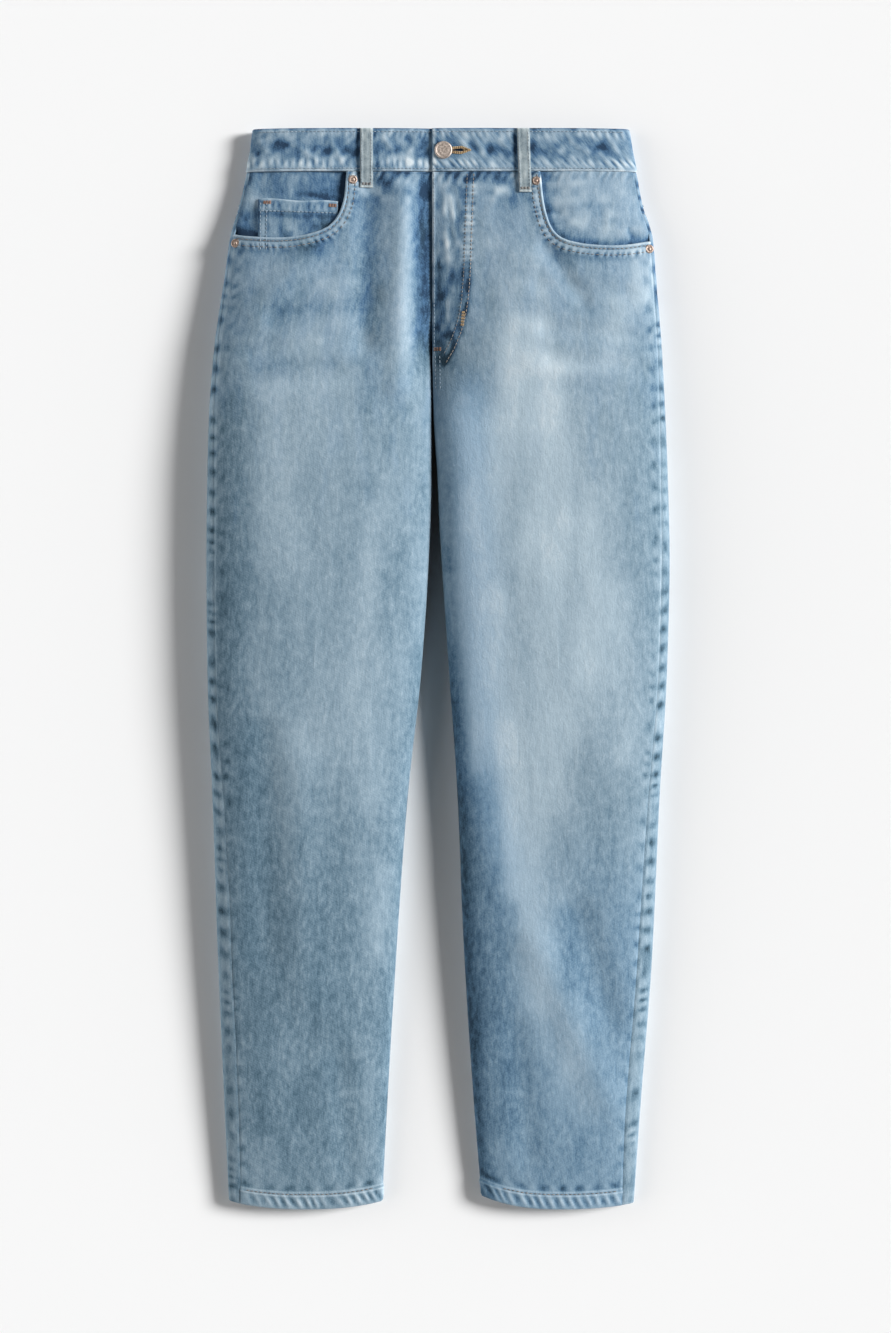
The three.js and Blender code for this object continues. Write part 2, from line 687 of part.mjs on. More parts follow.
const lapFace = frontAt("left", BUTTON.x, BUTTON.y);
const shankLength = BAND.thick + GAP;
place(add("button", button(shankLength), COLOURS.metal, METAL), lapFace, BAND.out + BAND.lap + GAP);

export default garment;
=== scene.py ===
"""A pair of high-waisted washed denim jeans, laid flat on its back, seen from straight above.

Lengths in tables and formulas are millimetres in the model's frame: +X to the wearer's left leg,
+Y from the hems to the waist, +Z up out of the front. Meshes are written in metres.
"""

import logging
import math
from dataclasses import dataclass, field
from enum import Enum
from functools import cached_property
from typing import Callable, Sequence

import bpy
import numpy as np
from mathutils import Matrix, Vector
from mathutils.bvhtree import BVHTree


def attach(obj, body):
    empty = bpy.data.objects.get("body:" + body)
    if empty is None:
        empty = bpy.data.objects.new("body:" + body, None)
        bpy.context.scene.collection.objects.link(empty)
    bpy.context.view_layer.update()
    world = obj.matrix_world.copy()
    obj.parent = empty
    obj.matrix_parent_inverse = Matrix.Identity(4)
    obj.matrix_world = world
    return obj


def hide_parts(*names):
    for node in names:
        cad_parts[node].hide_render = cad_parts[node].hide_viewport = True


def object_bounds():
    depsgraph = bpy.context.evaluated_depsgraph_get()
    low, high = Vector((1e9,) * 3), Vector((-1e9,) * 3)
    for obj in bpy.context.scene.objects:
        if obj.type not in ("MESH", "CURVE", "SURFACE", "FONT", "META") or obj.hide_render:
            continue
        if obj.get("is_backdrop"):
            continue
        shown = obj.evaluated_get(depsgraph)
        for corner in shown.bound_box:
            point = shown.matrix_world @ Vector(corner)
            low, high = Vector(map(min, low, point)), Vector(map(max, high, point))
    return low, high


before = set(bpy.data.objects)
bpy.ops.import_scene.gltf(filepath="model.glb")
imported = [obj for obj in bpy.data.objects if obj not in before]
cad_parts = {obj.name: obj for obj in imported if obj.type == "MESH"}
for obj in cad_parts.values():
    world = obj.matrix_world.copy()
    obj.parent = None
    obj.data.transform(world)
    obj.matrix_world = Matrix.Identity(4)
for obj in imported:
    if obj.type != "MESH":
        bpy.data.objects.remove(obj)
CAD_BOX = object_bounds()

MM = 0.001
Array = np.ndarray
log = logging.getLogger("jeans")


class Side(Enum):
    """The wearer's side, with the sign of X on it."""

    RIGHT = -1
    LEFT = 1


# Sizes of the garment, the same as those of its solids.
HALF_LENGTH = 500.0
WAIST_SEAM = 460.0
LAP_X = -5.5
BACK_X = -3.0
ROUND_POWER = 2.6
FALL_POWER = {Side.RIGHT: 3.2, Side.LEFT: 2.6}
LEG_STARTS = 300.0
LEG_WHOLE = 205.0
HEM_FOLD = 14.0
HEM_RISE = {Side.RIGHT: (7.0, 7.0), Side.LEFT: (12.0, 5.0)}
HEM_RISE_FROM = -380.0
BAND_OUT = 0.8
BAND_LAP = 0.6
BAND_LAP_END = (42.0, 58.0)
BUTTON_AT = (5.0, 479.5)
CLOTH = 1.4
BAND_CLOTH = 3.0
SEAM_GAP = 0.15
# Where a leg has its typical width, and the two rows of stitches along the waistband.
TYPICAL_Y = 60.0
BAND_ROWS = (462.6, 496.6)
# Distances of the closer grid lines from the edges of a narrow strip.
STRIP_FINE = (0.0, 0.35, 0.8)

# A row for each section across the garment: y, then distances outwards from x = 0, then heights.
SECTION_COLUMNS = (
    "y outer_right inner_right inner_left outer_left crown edge inseam tuck seam lift".split()
)
SECTION_ROWS = (
    (500, 171.0, 0.5, -5.5, 176.5, 20, 10, 18.5, 3, 3, 2.4),
    (460, 177.4, 0.5, -5.5, 183.9, 22, 10.5, 19.5, 3, 3, 2.4),
    (430, 184.0, 0.5, -5.5, 189.5, 26, 11, 20, 4, 3, 2.4),
    (400, 192.6, 0.5, -5.5, 198.7, 30, 12, 20.5, 4.5, 3, 1.6),
    (360, 198.2, 0.5, -5.5, 202.2, 34, 13.5, 21, 4.5, 3, 1.6),
    (330, 202.8, 0.5, -5.5, 204.6, 36, 14.3, 20.6, 4, 3.5, 1.6),
    (300, 207.0, 5.8, -5.5, 207.0, 38, 15, 19, 2.5, 4, 1.6),
    (235, 212.0, 5.3, -4.9, 210.4, 41, 16, 16, 0.3, 5.5, 1.6),
    (180, 213.6, 5.4, -1.4, 212.6, 43, 17, 15.5, 0, 7, 1.2),
    (100, 214.4, 8.0, 2.8, 214.4, 43, 17, 15, 0, 8, 0),
    (0, 213.6, 14.8, 9.5, 212.0, 41, 16.5, 14.5, 0, 8.5, 0),
    (-120, 208.8, 27.7, 17.6, 205.1, 37, 15, 13.5, 0, 11, 0),
    (-260, 204.2, 38.0, 23.5, 198.7, 31, 13, 12, 0, 14, 0),
    (-400, 198.2, 46.4, 32.5, 188.0, 24, 10.5, 9.5, 0, 14, 0),
    (-500, 193.6, 51.7, 40.7, 181.1, 17, 8, 7.5, 0, 11, 0),
)


def smooth(low: float, high: float, value: Array) -> Array:
    """Goes from 0 at low to 1 at high along t * t * (3 - 2 * t)."""
    t = np.clip((np.asarray(value, float) - low) / (high - low), 0.0, 1.0)
    return t * t * (3.0 - 2.0 * t)


def bump(value: Array, width: float) -> Array:
    """A Gaussian hump, exp(-(value / width) squared)."""
    return np.exp(-((np.asarray(value, float) / width) ** 2))


def unit(vectors: Array) -> Array:
    """Vectors scaled to length 1 along the last axis."""
    return vectors / np.maximum(np.linalg.norm(vectors, axis=-1, keepdims=True), 1e-12)


def arc_lengths(points: Array) -> Array:
    """Length along a line of points from its first one."""
    steps = np.linalg.norm(np.diff(points, axis=0), axis=1)
    return np.concatenate([[0.0], np.cumsum(steps)])


class Unevenness:
    """Smooth random numbers between -1 and 1, the same on each run."""

    def __init__(self, seed: int) -> None:
        """Args: seed picks the table of random numbers."""
        self.table = np.random.default_rng(seed).uniform(-1.0, 1.0, (128, 128))

    def over(self, a: Array, b: Array) -> Array:
        """Value noise on a plane: the table's corners mixed by smooth steps.

        Args:
            a: first coordinate, in cells of the table.
            b: second coordinate.
        Returns: one number for each place.
        """
        a, b = np.broadcast_arrays(np.asarray(a, float), np.asarray(b, float))
        ia, ib = np.floor(a).astype(int), np.floor(b).astype(int)
        fa, fb = smooth(0, 1, a - ia), smooth(0, 1, b - ib)
        corner = lambda i, j: self.table[(ia + i) % 128, (ib + j) % 128]
        low = corner(0, 0) * (1 - fa) + corner(1, 0) * fa
        high = corner(0, 1) * (1 - fa) + corner(1, 1) * fa
        return low * (1 - fb) + high * fb

    def along(self, a: Array) -> Array:
        """Value noise on a line."""
        return self.over(a, 0.37)


@dataclass(frozen=True)
class Crease:
    """A soft straight ridge or trough in the cloth, or only a stroke of paler or darker wash or of
    painted shade.
    """

    x0: float
    y0: float
    x1: float
    y1: float
    width: float
    height: float = 0.0
    wear: float = 0.0
    bow: float = 0.0
    taper: float = 0.0

    def weight(self, x: Array, y: Array) -> Array:
        """1 on the crease's line, falling as a Gaussian of the distance to it.

        The line bows sideways as a parabola, and with a taper its ends fade out.

        Args: x, y: places in mm.
        Returns: the weight at each place.
        """
        dx, dy = self.x1 - self.x0, self.y1 - self.y0
        squared = dx * dx + dy * dy
        along = np.clip(((x - self.x0) * dx + (y - self.y0) * dy) / squared, 0.0, 1.0)
        side = 4.0 * self.bow * along * (1.0 - along) / math.sqrt(squared)
        away = np.hypot(x - self.x0 - along * dx + side * dy, y - self.y0 - along * dy - side * dx)
        ends = 1.0
        if self.taper:
            ends = smooth(-0.02, self.taper, along) * smooth(-0.02, self.taper, 1.0 - along)
        return bump(away, self.width) * ends


def creases(rows: Sequence[Sequence[float]], **same: float) -> tuple[Crease, ...]:
    """One crease for each row of a table; same holds the fields that all rows share."""
    return tuple(Crease(*row, **same) for row in rows)


# The largest folds, as in the solids: x0, y0, x1, y1, width, height.
MAIN_FOLDS = creases(
    (
        (-31, 440, -34, 262, 14, 5), (-64, 448, -67, 300, 13, -4), (-118, 385, -168, 330, 14, 2),
        (100, 388, 132, 342, 9, -2.5), (95, 352, 172, 348, 9, -1.6), (100, 313, 200, 305, 9, -1.8),
        (105, 284, 196, 277, 9, -1.4), (-60, 345, -150, 322, 9, -1.6),
        (-70, 305, -170, 290, 9, -1.6), (-70, 270, -165, 262, 9, -1.2),
        (92, -255, 155, -395, 17, 3), (128, -225, 158, -320, 16, -3),
        (70, -330, 84, -450, 13, -1.6), (-128, -90, -122, -300, 18, 2),
        (-160, -60, -158, -260, 16, -2), (-92, -360, -84, -460, 13, -1.6),
    )
)


@dataclass(frozen=True)
class Slice:
    """The numbers of one side's sections at many heights y."""

    inner: Array
    outer: Array
    crown: Array
    edge: Array
    inseam: Array
    seam: Array
    lift: Array
    leg: Array

    @property
    def middle(self) -> Array:
        """Distance of the crown's line from x = 0."""
        return (self.inner + self.outer) / 2


@dataclass(frozen=True)
class LaidForm:
    """The shape that the laid garment's cloth follows, from its table of sections."""

    rows: tuple = SECTION_ROWS
    folds: tuple[Crease, ...] = MAIN_FOLDS

    @cached_property
    def table(self) -> tuple[Array, dict[str, Array], dict[str, Array]]:
        """The table of sections, with the slope of each column at each row.

        Returns: the rows' y upwards, each column's values, and its slopes as harmonic means.
        """
        data = np.array(self.rows, float)[::-1]
        y = data[:, 0]
        values = {name: data[:, k] for k, name in enumerate(SECTION_COLUMNS)}
        slopes = {}
        for name, column in values.items():
            steps = np.diff(column) / np.diff(y)
            before, after = steps[:-1], steps[1:]
            total = np.where(before * after > 0, before + after, 1.0)
            inside = np.where(before * after > 0, 2 * before * after / total, 0.0)
            slopes[name] = np.concatenate([steps[:1], inside, steps[-1:]])
        return y, values, slopes

    def column(self, name: str, y: Array) -> Array:
        """A column of the sections at y, on cubic pieces that never overshoot their rows.

        Args: name: the column; y: heights on the garment.
        Returns: its values there.
        """
        ys, values, slopes = self.table
        at = np.clip(y, ys[0], ys[-1])
        k = np.clip(np.searchsorted(ys, at, side="right") - 1, 0, len(ys) - 2)
        span = ys[k + 1] - ys[k]
        t = (at - ys[k]) / span
        v, m = values[name], slopes[name]
        return (
            (2 * t**3 - 3 * t**2 + 1) * v[k]
            + (t**3 - 2 * t**2 + t) * span * m[k]
            + (3 * t**2 - 2 * t**3) * v[k + 1]
            + (t**3 - t**2) * span * m[k + 1]
        )

    def slice(self, side: Side, y: Array) -> Slice:
        """One side's sections at y, with distances measured outwards from x = 0.

        Args: side: which leg; y: heights on the garment.
        Returns: the numbers.
        """
        name = side.name.lower()
        inner = self.column("inner_" + name, y)
        outer = self.column("outer_" + name, y)
        tuck = self.column("tuck", y) if side is Side.RIGHT else 0.0
        return Slice(
            inner=inner,
            outer=outer,
            crown=self.column("crown", y),
            edge=self.column("edge", y),
            inseam=self.column("inseam", y) - tuck,
            seam=outer - self.column("seam", y),
            lift=self.column("lift", y),
            leg=1.0 - smooth(LEG_WHOLE, LEG_STARTS, y),
        )

    def fold_height(self, x: Array, y: Array) -> Array:
        """Height that the largest folds add."""
        return sum(fold.height * fold.weight(x, y) for fold in self.folds)

    def front(self, side: Side, w: Array, y: Array) -> Array:
        """Points of the front's face: w is -1 at the inner edge, 0 on the crown, 1 outside.

        Across, a point lies sin(w * 90 degrees) of the way from the crown to the edge; its height
        falls from the crown along a squared circle, or to the centre front along a power.

        Args: side: which leg; w, y: places on it.
        Returns: the points in mm.
        """
        w, y = np.broadcast_arrays(np.asarray(w, float), np.asarray(y, float))
        f = self.slice(side, y)
        s = np.sin(np.abs(w) * math.pi / 2)
        x = side.value * (f.middle + s * (np.where(w < 0, f.inner, f.outer) - f.middle))
        rounded = np.sqrt(np.maximum(0.0, 1 - s**ROUND_POWER))
        falling = 1 - s ** FALL_POWER[side]
        base = np.where(w < 0, f.inseam, f.edge)
        share = np.where(w < 0, f.leg * rounded + (1 - f.leg) * falling, rounded)
        z = base + (f.crown - base) * share + self.fold_height(x, y) * (1 - s**6)
        return np.stack([x, y, z], axis=-1)

    def parameter(self, side: Side, x: Array, y: Array) -> Array:
        """The w of the front at a place seen from above.

        Args: side: which leg; x, y: the places.
        Returns: w, from -1 to 1.
        """
        f = self.slice(side, y)
        across = side.value * np.asarray(x, float)
        inwards = across < f.middle
        s = (across - f.middle) / (np.where(inwards, f.inner, f.outer) - f.middle)
        return np.where(inwards, -1, 1) * np.arcsin(np.clip(s, 0, 1)) / (math.pi / 2)

    def seam_parameter(self, side: Side, y: Array) -> Array:
        """The w of the side seam at y."""
        return self.parameter(side, side.value * self.slice(side, y).seam, y)

    def back(self, side: Side, w: Array, y: Array) -> Array:
        """Points of the back's face, w from 0 at the side seam to 4 at the inseam.

        1 is the outer edge, 2 the start of the flat underside and 3 its end; between them run a
        quarter circle, a straight line and a quarter of an ellipse.

        Args: side: which leg; w, y: places on it.
        Returns: the points in mm.
        """
        w, y = np.broadcast_arrays(np.asarray(w, float), np.asarray(y, float))
        f = self.slice(side, y)
        seam = self.seam_parameter(side, y)
        over = self.front(side, seam + np.clip(w, 0, 1) * (1 - seam), y)
        rise = f.lift + f.leg * (f.inseam - f.lift)
        inner = f.leg * f.inner + (1 - f.leg) * side.value * BACK_X
        turn_in = 4 + 10 * f.leg
        turn = np.clip(np.where(w < 2, w - 1, w - 3), 0, 1) * math.pi / 2
        flat = f.outer - f.edge + (w - 2) * (inner + turn_in - f.outer + f.edge)
        across = np.where(
            w < 2,
            f.outer - f.edge * (1 - np.cos(turn)),
            np.where(w < 3, flat, inner + turn_in * (1 - np.sin(turn))),
        )
        z = np.where(
            w < 2,
            f.edge - (f.edge - f.lift) * np.sin(turn),
            np.where(w < 3, f.lift, f.lift + (rise - f.lift) * (1 - np.cos(turn))),
        )
        under = np.stack([side.value * across, y, z], axis=-1)
        return np.where((w < 1)[..., None], over, under)

    def hem_rise(self, side: Side, across: Array, y: Array) -> Array:
        """How far the curved hem stays above its lowest point; it dies out upwards.

        Args: side: which leg; across: distances from x = 0; y: heights on the garment.
        Returns: the rise in mm.
        """
        f = self.slice(side, y)
        share = (across - f.middle) / (f.outer - f.middle)
        inner, outer = HEM_RISE[side]
        rise = np.where(share < 0, inner, outer) * np.abs(share) ** 2.4
        return rise * (1 - smooth(-HALF_LENGTH, HEM_RISE_FROM, y))

    def hem(self, side: Side, across: Array) -> Array:
        """The y of the hem's edge at distances across from x = 0."""
        return -HALF_LENGTH + self.hem_rise(side, across, np.full_like(across, -HALF_LENGTH))


FORM = LaidForm()


# Grids, shells and objects.


def edge_fine(count: int, length: float, fine: Sequence[float] = (0.0, 0.4, 0.9, 1.6)) -> Array:
    """count + 1 shares from 0 to 1, evenly spread but with closer lines at both ends.

    Args:
        count: number of gaps.
        length: the length in mm that the shares divide.
        fine: distances of the closer lines from each end, in mm.
    Returns: the shares.
    """
    near = np.array(fine) / length
    far = (2 * fine[-1] - fine[-2] + 0.4) / length
    between = np.linspace(far, 1 - far, count + 1 - 2 * len(fine))
    return np.concatenate([near, between, 1 - near[::-1]])


def grid_normals(points: Array, outward: float) -> Array:
    """Unit normals of a grid: the cross product of its column and row directions, times outward.

    Args: points: the grid; outward: 1 or -1, for the side that faces out.
    Returns: the normals.
    """
    across = np.gradient(points, axis=1)
    up = np.gradient(points, axis=0)
    return unit(np.cross(across, up)) * outward


def grid_faces(rows: int, columns: int, first: int) -> Array:
    """Two triangles for each cell of a grid whose points are numbered row by row from first.

    Args: rows, columns: points each way; first: number of the first point.
    Returns: point numbers of the triangles.
    """
    a = first + np.arange(rows - 1)[:, None] * columns + np.arange(columns - 1)
    b, c, d = a + 1, a + columns + 1, a + columns
    return np.stack([a, b, c, a, c, d], axis=-1).reshape(-1, 3)


def grid_rim(rows: int, columns: int, first: int) -> Array:
    """The numbers of a grid's edge points, once round."""
    n = first + np.arange(rows * columns).reshape(rows, columns)
    return np.concatenate([n[0, :-1], n[:-1, -1], n[-1, :0:-1], n[:0:-1, 0]])


def shell_faces(outer: tuple[int, int], inner: tuple[int, int], step: int) -> Array:
    """Closed triangles between an outer grid and an inner grid that is step times coarser.

    Round the rim each fine edge is joined to the nearest coarse point, and each coarse edge to
    the fine point in front of its middle.

    Args:
        outer: rows and columns of the outer grid.
        inner: rows and columns of the inner grid.
        step: how many outer cells one inner cell spans each way.
    Returns: point numbers of the triangles, the outer grid's points first.
    """
    count = outer[0] * outer[1]
    fine, coarse = grid_rim(*outer, 0), grid_rim(*inner, count)
    half = step // 2
    i, k = np.arange(len(fine)), np.arange(len(coarse))
    nearest = ((i + step - half) // step) % len(coarse)
    ahead = fine[(k * step + half) % len(fine)]
    return np.concatenate(
        [
            grid_faces(*outer, 0),
            grid_faces(*inner, count)[:, ::-1],
            np.stack([np.roll(fine, -1), fine, coarse[nearest]], axis=-1),
            np.stack([coarse, np.roll(coarse, -1), ahead], axis=-1),
        ]
    )


@dataclass
class Face:
    """The outer face of a cloth piece as a grid, in mm, with what the wash did to it.

    across and along measure the cloth itself, wear is 0 for dark and 1 for bleached cloth and is
    lowered in places to paint shade and shadow, and blue is 1 where it kept the purest blue.
    """

    points: Array
    normals: Array
    across: Array
    along: Array
    wear: Array
    blue: Array | float = 0.0

    def raised(self, height: Array) -> "Face":
        """The face moved out along its normals by a height at each point."""
        points = self.points + self.normals * np.asarray(height)[..., None]
        return Face(points, self.normals, self.across, self.along, self.wear, self.blue)

    @property
    def x(self) -> Array:
        """X of the points."""
        return self.points[..., 0]

    @property
    def y(self) -> Array:
        """Y of the points."""
        return self.points[..., 1]


@dataclass
class ClothMesh:
    """A closed mesh of one piece of cloth, with its cloth coordinates and wear."""

    points: Array
    faces: Array
    cloth: Array
    wear: Array

    def __post_init__(self) -> None:
        """Turns the faces round if the mesh encloses a negative volume."""
        a, b, c = (self.points[self.faces[:, k]] for k in range(3))
        if np.einsum("ij,ij->i", a, np.cross(b, c)).sum() < 0:
            self.faces = self.faces[:, ::-1]


def shell(face: Face, depth: Array | float, step: int = 1) -> ClothMesh:
    """Gives a face its thickness: an inner grid lies depth under it along the normals.

    Args:
        face: the outer face.
        depth: thickness in mm, one number or one for each point.
        step: how much coarser the inner grid is; it divides the cells both ways.
    Returns: the closed mesh.
    """
    full = np.broadcast_to(np.asarray(depth, float), face.wear.shape)
    thin = (slice(None, None, step), slice(None, None, step))
    inner = face.points[thin] - face.normals[thin] * full[thin][..., None]
    faces = shell_faces(face.wear.shape, inner.shape[:2], step)
    cloth = np.stack([face.across, face.along, face.blue + 0.0 * face.wear], axis=-1)
    join = lambda values: np.concatenate(
        [values.reshape(-1, *values.shape[2:]), values[thin].reshape(-1, *values.shape[2:])]
    )
    points = np.concatenate([face.points.reshape(-1, 3), inner.reshape(-1, 3)])
    return ClothMesh(points, faces, join(cloth), join(face.wear))


def add_object(
    name: str,
    points: Array,
    faces: Array,
    material: bpy.types.Material,
    attributes: dict[str, Array] | None = None,
    sharp: float = 50.0,
) -> bpy.types.Object:
    """Makes an object from arrays.

    Args:
        name: name of the object.
        points: corners in mm.
        faces: triangles or quads as point numbers.
        material: its finish.
        attributes: values at the points by name, either one number or three each.
        sharp: edges with a larger angle, in degrees, stay sharp.
    Returns: the object, at the origin.
    """
    mesh = bpy.data.meshes.new(name)
    sides = faces.shape[1]
    mesh.vertices.add(len(points))
    mesh.vertices.foreach_set("co", (points * MM).astype(np.float32).ravel())
    mesh.loops.add(faces.size)
    mesh.loops.foreach_set("vertex_index", faces.astype(np.int32).ravel())
    mesh.polygons.add(len(faces))
    starts = np.arange(0, faces.size, sides, dtype=np.int32)
    mesh.polygons.foreach_set("loop_start", starts)
    mesh.update(calc_edges=True)
    for key, values in (attributes or {}).items():
        kind, field_name = ("FLOAT", "value") if values.ndim == 1 else ("FLOAT_VECTOR", "vector")
        layer = mesh.attributes.new(key, kind, "POINT")
        layer.data.foreach_set(field_name, values.astype(np.float32).ravel())
    mesh.materials.append(material)
    mesh.shade_smooth()
    mesh.set_sharp_from_angle(angle=math.radians(sharp))
    mesh.validate()
    thing = bpy.data.objects.new(name, mesh)
    bpy.context.scene.collection.objects.link(thing)
    return thing


def add_cloth(name: str, cloth: ClothMesh, material: bpy.types.Material) -> bpy.types.Object:
    """Makes the object of a cloth mesh, with its attributes wear and cloth."""
    values = {"wear": cloth.wear, "cloth": cloth.cloth * MM}
    return add_object(name, cloth.points, cloth.faces, material, values)


# Colours and materials.


def linear(code: str) -> tuple[float, float, float, float]:
    """An sRGB colour such as 5a7d98, in linear light with alpha 1.

    Args: code: its six hexadecimal digits.
    Returns: red, green, blue and alpha.
    """
    parts = [int(code[k : k + 2], 16) / 255 for k in (0, 2, 4)]
    light = [c / 12.92 if c <= 0.04045 else ((c + 0.055) / 1.055) ** 2.4 for c in parts]
    return (*light, 1.0)


Stops = tuple[tuple[float, str], ...]


def even_stops(codes: str) -> Stops:
    """Evenly spaced stops of a colour ramp, from dark to bleached."""
    parts = codes.split()
    return tuple((k / (len(parts) - 1), code) for k, code in enumerate(parts))


@dataclass
class Shading:
    """A material and its node tree, with the surface shader at hand."""

    name: str
    material: bpy.types.Material = field(init=False)
    surface: bpy.types.Node = field(init=False)

    def __post_init__(self) -> None:
        """Makes the material with only its surface shader and output."""
        self.material = bpy.data.materials.new(self.name)
        self.material.use_nodes = True
        self.surface = self.material.node_tree.nodes["Principled BSDF"]

    def node(self, kind: str, links: dict | None = None, **settings: object) -> bpy.types.Node:
        """Adds a node.

        Args:
            kind: the node's type without its ShaderNode prefix.
            links: for each input, by name or number, either a value or a socket to take it from.
            settings: the node's own properties.
        Returns: the node.
        """
        added = self.material.node_tree.nodes.new("ShaderNode" + kind)
        for key, value in settings.items():
            setattr(added, key, value)
        for key, value in (links or {}).items():
            self.put(added.inputs[key], value)
        return added

    def put(self, socket: bpy.types.NodeSocket, value: object) -> None:
        """Gives an input a value, or links a socket to it.

        Args: socket: the input; value: a number, colour, vector or socket.
        """
        if isinstance(value, bpy.types.NodeSocket):
            self.material.node_tree.links.new(value, socket)
        else:
            socket.default_value = value

    def finish(self, colour: object, roughness: object, **others: object) -> None:
        """Gives the surface its colour, roughness and other inputs, with _ for each blank."""
        for key, value in {"Base_Color": colour, "Roughness": roughness, **others}.items():
            self.put(self.surface.inputs[key.replace("_", " ")], value)

    def math(self, operation: str, a: object, b: object = 0.0) -> bpy.types.NodeSocket:
        """The result of a sum or product of two numbers or sockets."""
        return self.node("Math", {0: a, 1: b}, operation=operation).outputs[0]

    def attribute(self, name: str, output: str) -> bpy.types.NodeSocket:
        """A value that the mesh carries at its points."""
        return self.node("Attribute", attribute_name=name).outputs[output]

    def scaled(self, vector: bpy.types.NodeSocket, scale: Sequence[float]) -> bpy.types.NodeSocket:
        """A vector times a scale on each axis."""
        return self.node("VectorMath", {0: vector, 1: scale}, operation="MULTIPLY").outputs[0]

    def noise(
        self, vector: bpy.types.NodeSocket, size: tuple[float, float], detail: float = 2.0
    ) -> bpy.types.NodeSocket:
        """Noise between 0 and 1, around 0.5, with blotches of a size in mm each way.

        Args: vector: places in metres; size: of a blotch; detail: octaves of finer ones.
        Returns: the noise.
        """
        cells = self.scaled(vector, (1 / (size[0] * MM), 1 / (size[1] * MM), 1.0))
        links = {"Vector": cells, "Scale": 1.0, "Detail": detail}
        return self.node("TexNoise", links, noise_dimensions="2D").outputs[0]

    def ramp(self, value: bpy.types.NodeSocket, stops: Sequence[tuple[float, str]]) -> object:
        """A colour looked up between stops of position and sRGB code.

        Args: value: where to look; stops: position and colour of each.
        Returns: the colour.
        """
        added = self.node("ValToRGB", {0: value})
        elements = added.color_ramp.elements
        elements[0].position, elements[0].color = stops[0][0], linear(stops[0][1])
        elements[1].position, elements[1].color = stops[-1][0], linear(stops[-1][1])
        for position, code in stops[1:-1]:
            elements.new(position).color = linear(code)
        return added.outputs[0]

    def mixed(self, parts: dict[str, object]) -> bpy.types.NodeSocket:
        """Two colours A and B mixed by Factor.

        Args: parts: what Factor, A and B are.
        Returns: the colour.
        """
        added = self.node("Mix", data_type="RGBA")
        sockets = {socket.name: socket for socket in added.inputs if socket.enabled}
        for key, value in parts.items():
            self.put(sockets[key], value)
        return next(socket for socket in added.outputs if socket.enabled)

    def bumps(self, height: object, distance: float, strength: float = 1.0) -> None:
        """Roughens the surface by a height between 0 and 1 over a distance in mm."""
        links = {"Strength": strength, "Distance": distance * MM, "Height": height}
        self.put(self.surface.inputs["Normal"], self.node("Bump", links).outputs[0])


@dataclass(frozen=True)
class WashedDenim:
    """Indigo cotton twill, stone-washed and bleached to a pale blue.

    Only the outer fibres of the warp hold indigo, so where the cloth rubbed or was bleached its
    white core shows. To the eye that gives mottled cloth with an upright grain, greener in some
    clouds and bluer in others, pale ridges and dark hollows at each seam, matt with a slight fuzz.
    """

    name: str
    shift: float = 0.0
    upper: Stops = even_stops("1f3a55 436687 66849c 88a0b3 aabdca cfdae0")
    lower: Stops = even_stops("29414f 4c687a 698394 889ead aabdc9 cfdae0")
    purest: Stops = even_stops("1f3f5e 406a92 6189ab 7fa3c0 a0bed6 c6dbea")
    # Size of each kind of blotch across and along the warp in mm, its detail and its strength.
    blotches: tuple[tuple[float, float, float, float], ...] = (
        (13.0, 24.0, 2.0, 0.2),
        (4.8, 9.0, 3.0, 0.42),
        (3.2, 30.0, 2.0, 0.1),
        (1.4, 6.0, 2.0, 0.14),
        (1.6, 2.0, 1.0, 0.2),
    )
    clouds: tuple[float, float] = (16.0, 60.0)
    # Real denim has a twill line each 0.9 mm. It is drawn at 1.9 mm, which a picture of this
    # size can hold.
    twill: float = 1.9

    def build(self) -> bpy.types.Material:
        """Makes the material, which reads the attributes wear and cloth.

        Returns: the material.
        """
        s = Shading(self.name)
        cloth = s.attribute("cloth", "Vector")
        wear = s.math("ADD", s.attribute("wear", "Fac"), self.shift)
        turn = s.node("VectorRotate", {"Vector": cloth, "Angle": math.radians(62)}).outputs[0]
        lines = {"Vector": turn, "Scale": 0.314 / (self.twill * MM), "Distortion": 1.2}
        twill = s.math("SUBTRACT", s.node("TexWave", lines).outputs["Fac"], 0.5)
        pattern = s.math("MULTIPLY", twill, 0.03)
        for across, along, detail, strength in self.blotches:
            spot = s.math("SUBTRACT", s.noise(cloth, (across, along), detail), 0.5)
            pattern = s.math("ADD", pattern, s.math("MULTIPLY", spot, strength))
        # Bleached cloth has little indigo left to vary.
        left = s.math("MAXIMUM", s.math("SUBTRACT", 1.15, wear), 0.4)
        left = s.math("MINIMUM", s.math("MULTIPLY", s.math("MULTIPLY", left, left), 1.9), 1.1)
        total = s.math("ADD", wear, s.math("MULTIPLY", pattern, left))
        # The hips kept a purer blue than the legs, which took a greener tint in the wash.
        place = s.node("SeparateXYZ", {"Vector": cloth})
        along = place.outputs["Y"]
        cloud = s.math("SUBTRACT", s.noise(cloth, self.clouds, 3.0), 0.5)
        height = s.math("ADD", along, s.math("MULTIPLY", cloud, 0.5))
        high = s.node("MapRange", {0: height, 1: 0.2, 2: 0.42}).outputs[0]
        both = {"Factor": high, "A": s.ramp(total, self.lower), "B": s.ramp(total, self.upper)}
        # Where the cloth's third coordinate is 1 mm instead of 0 it kept the purest blue.
        pure = s.math("MULTIPLY", place.outputs["Z"], 1 / MM)
        shades = {"Factor": pure, "A": s.mixed(both), "B": s.ramp(total, self.purest)}
        fuzz = {"Sheen_Weight": 0.12, "Sheen_Roughness": 0.5}
        s.finish(s.mixed(shades), 0.9, Specular_IOR_Level=0.25, **fuzz)
        s.bumps(pattern, 0.9, 0.8)
        return s.material


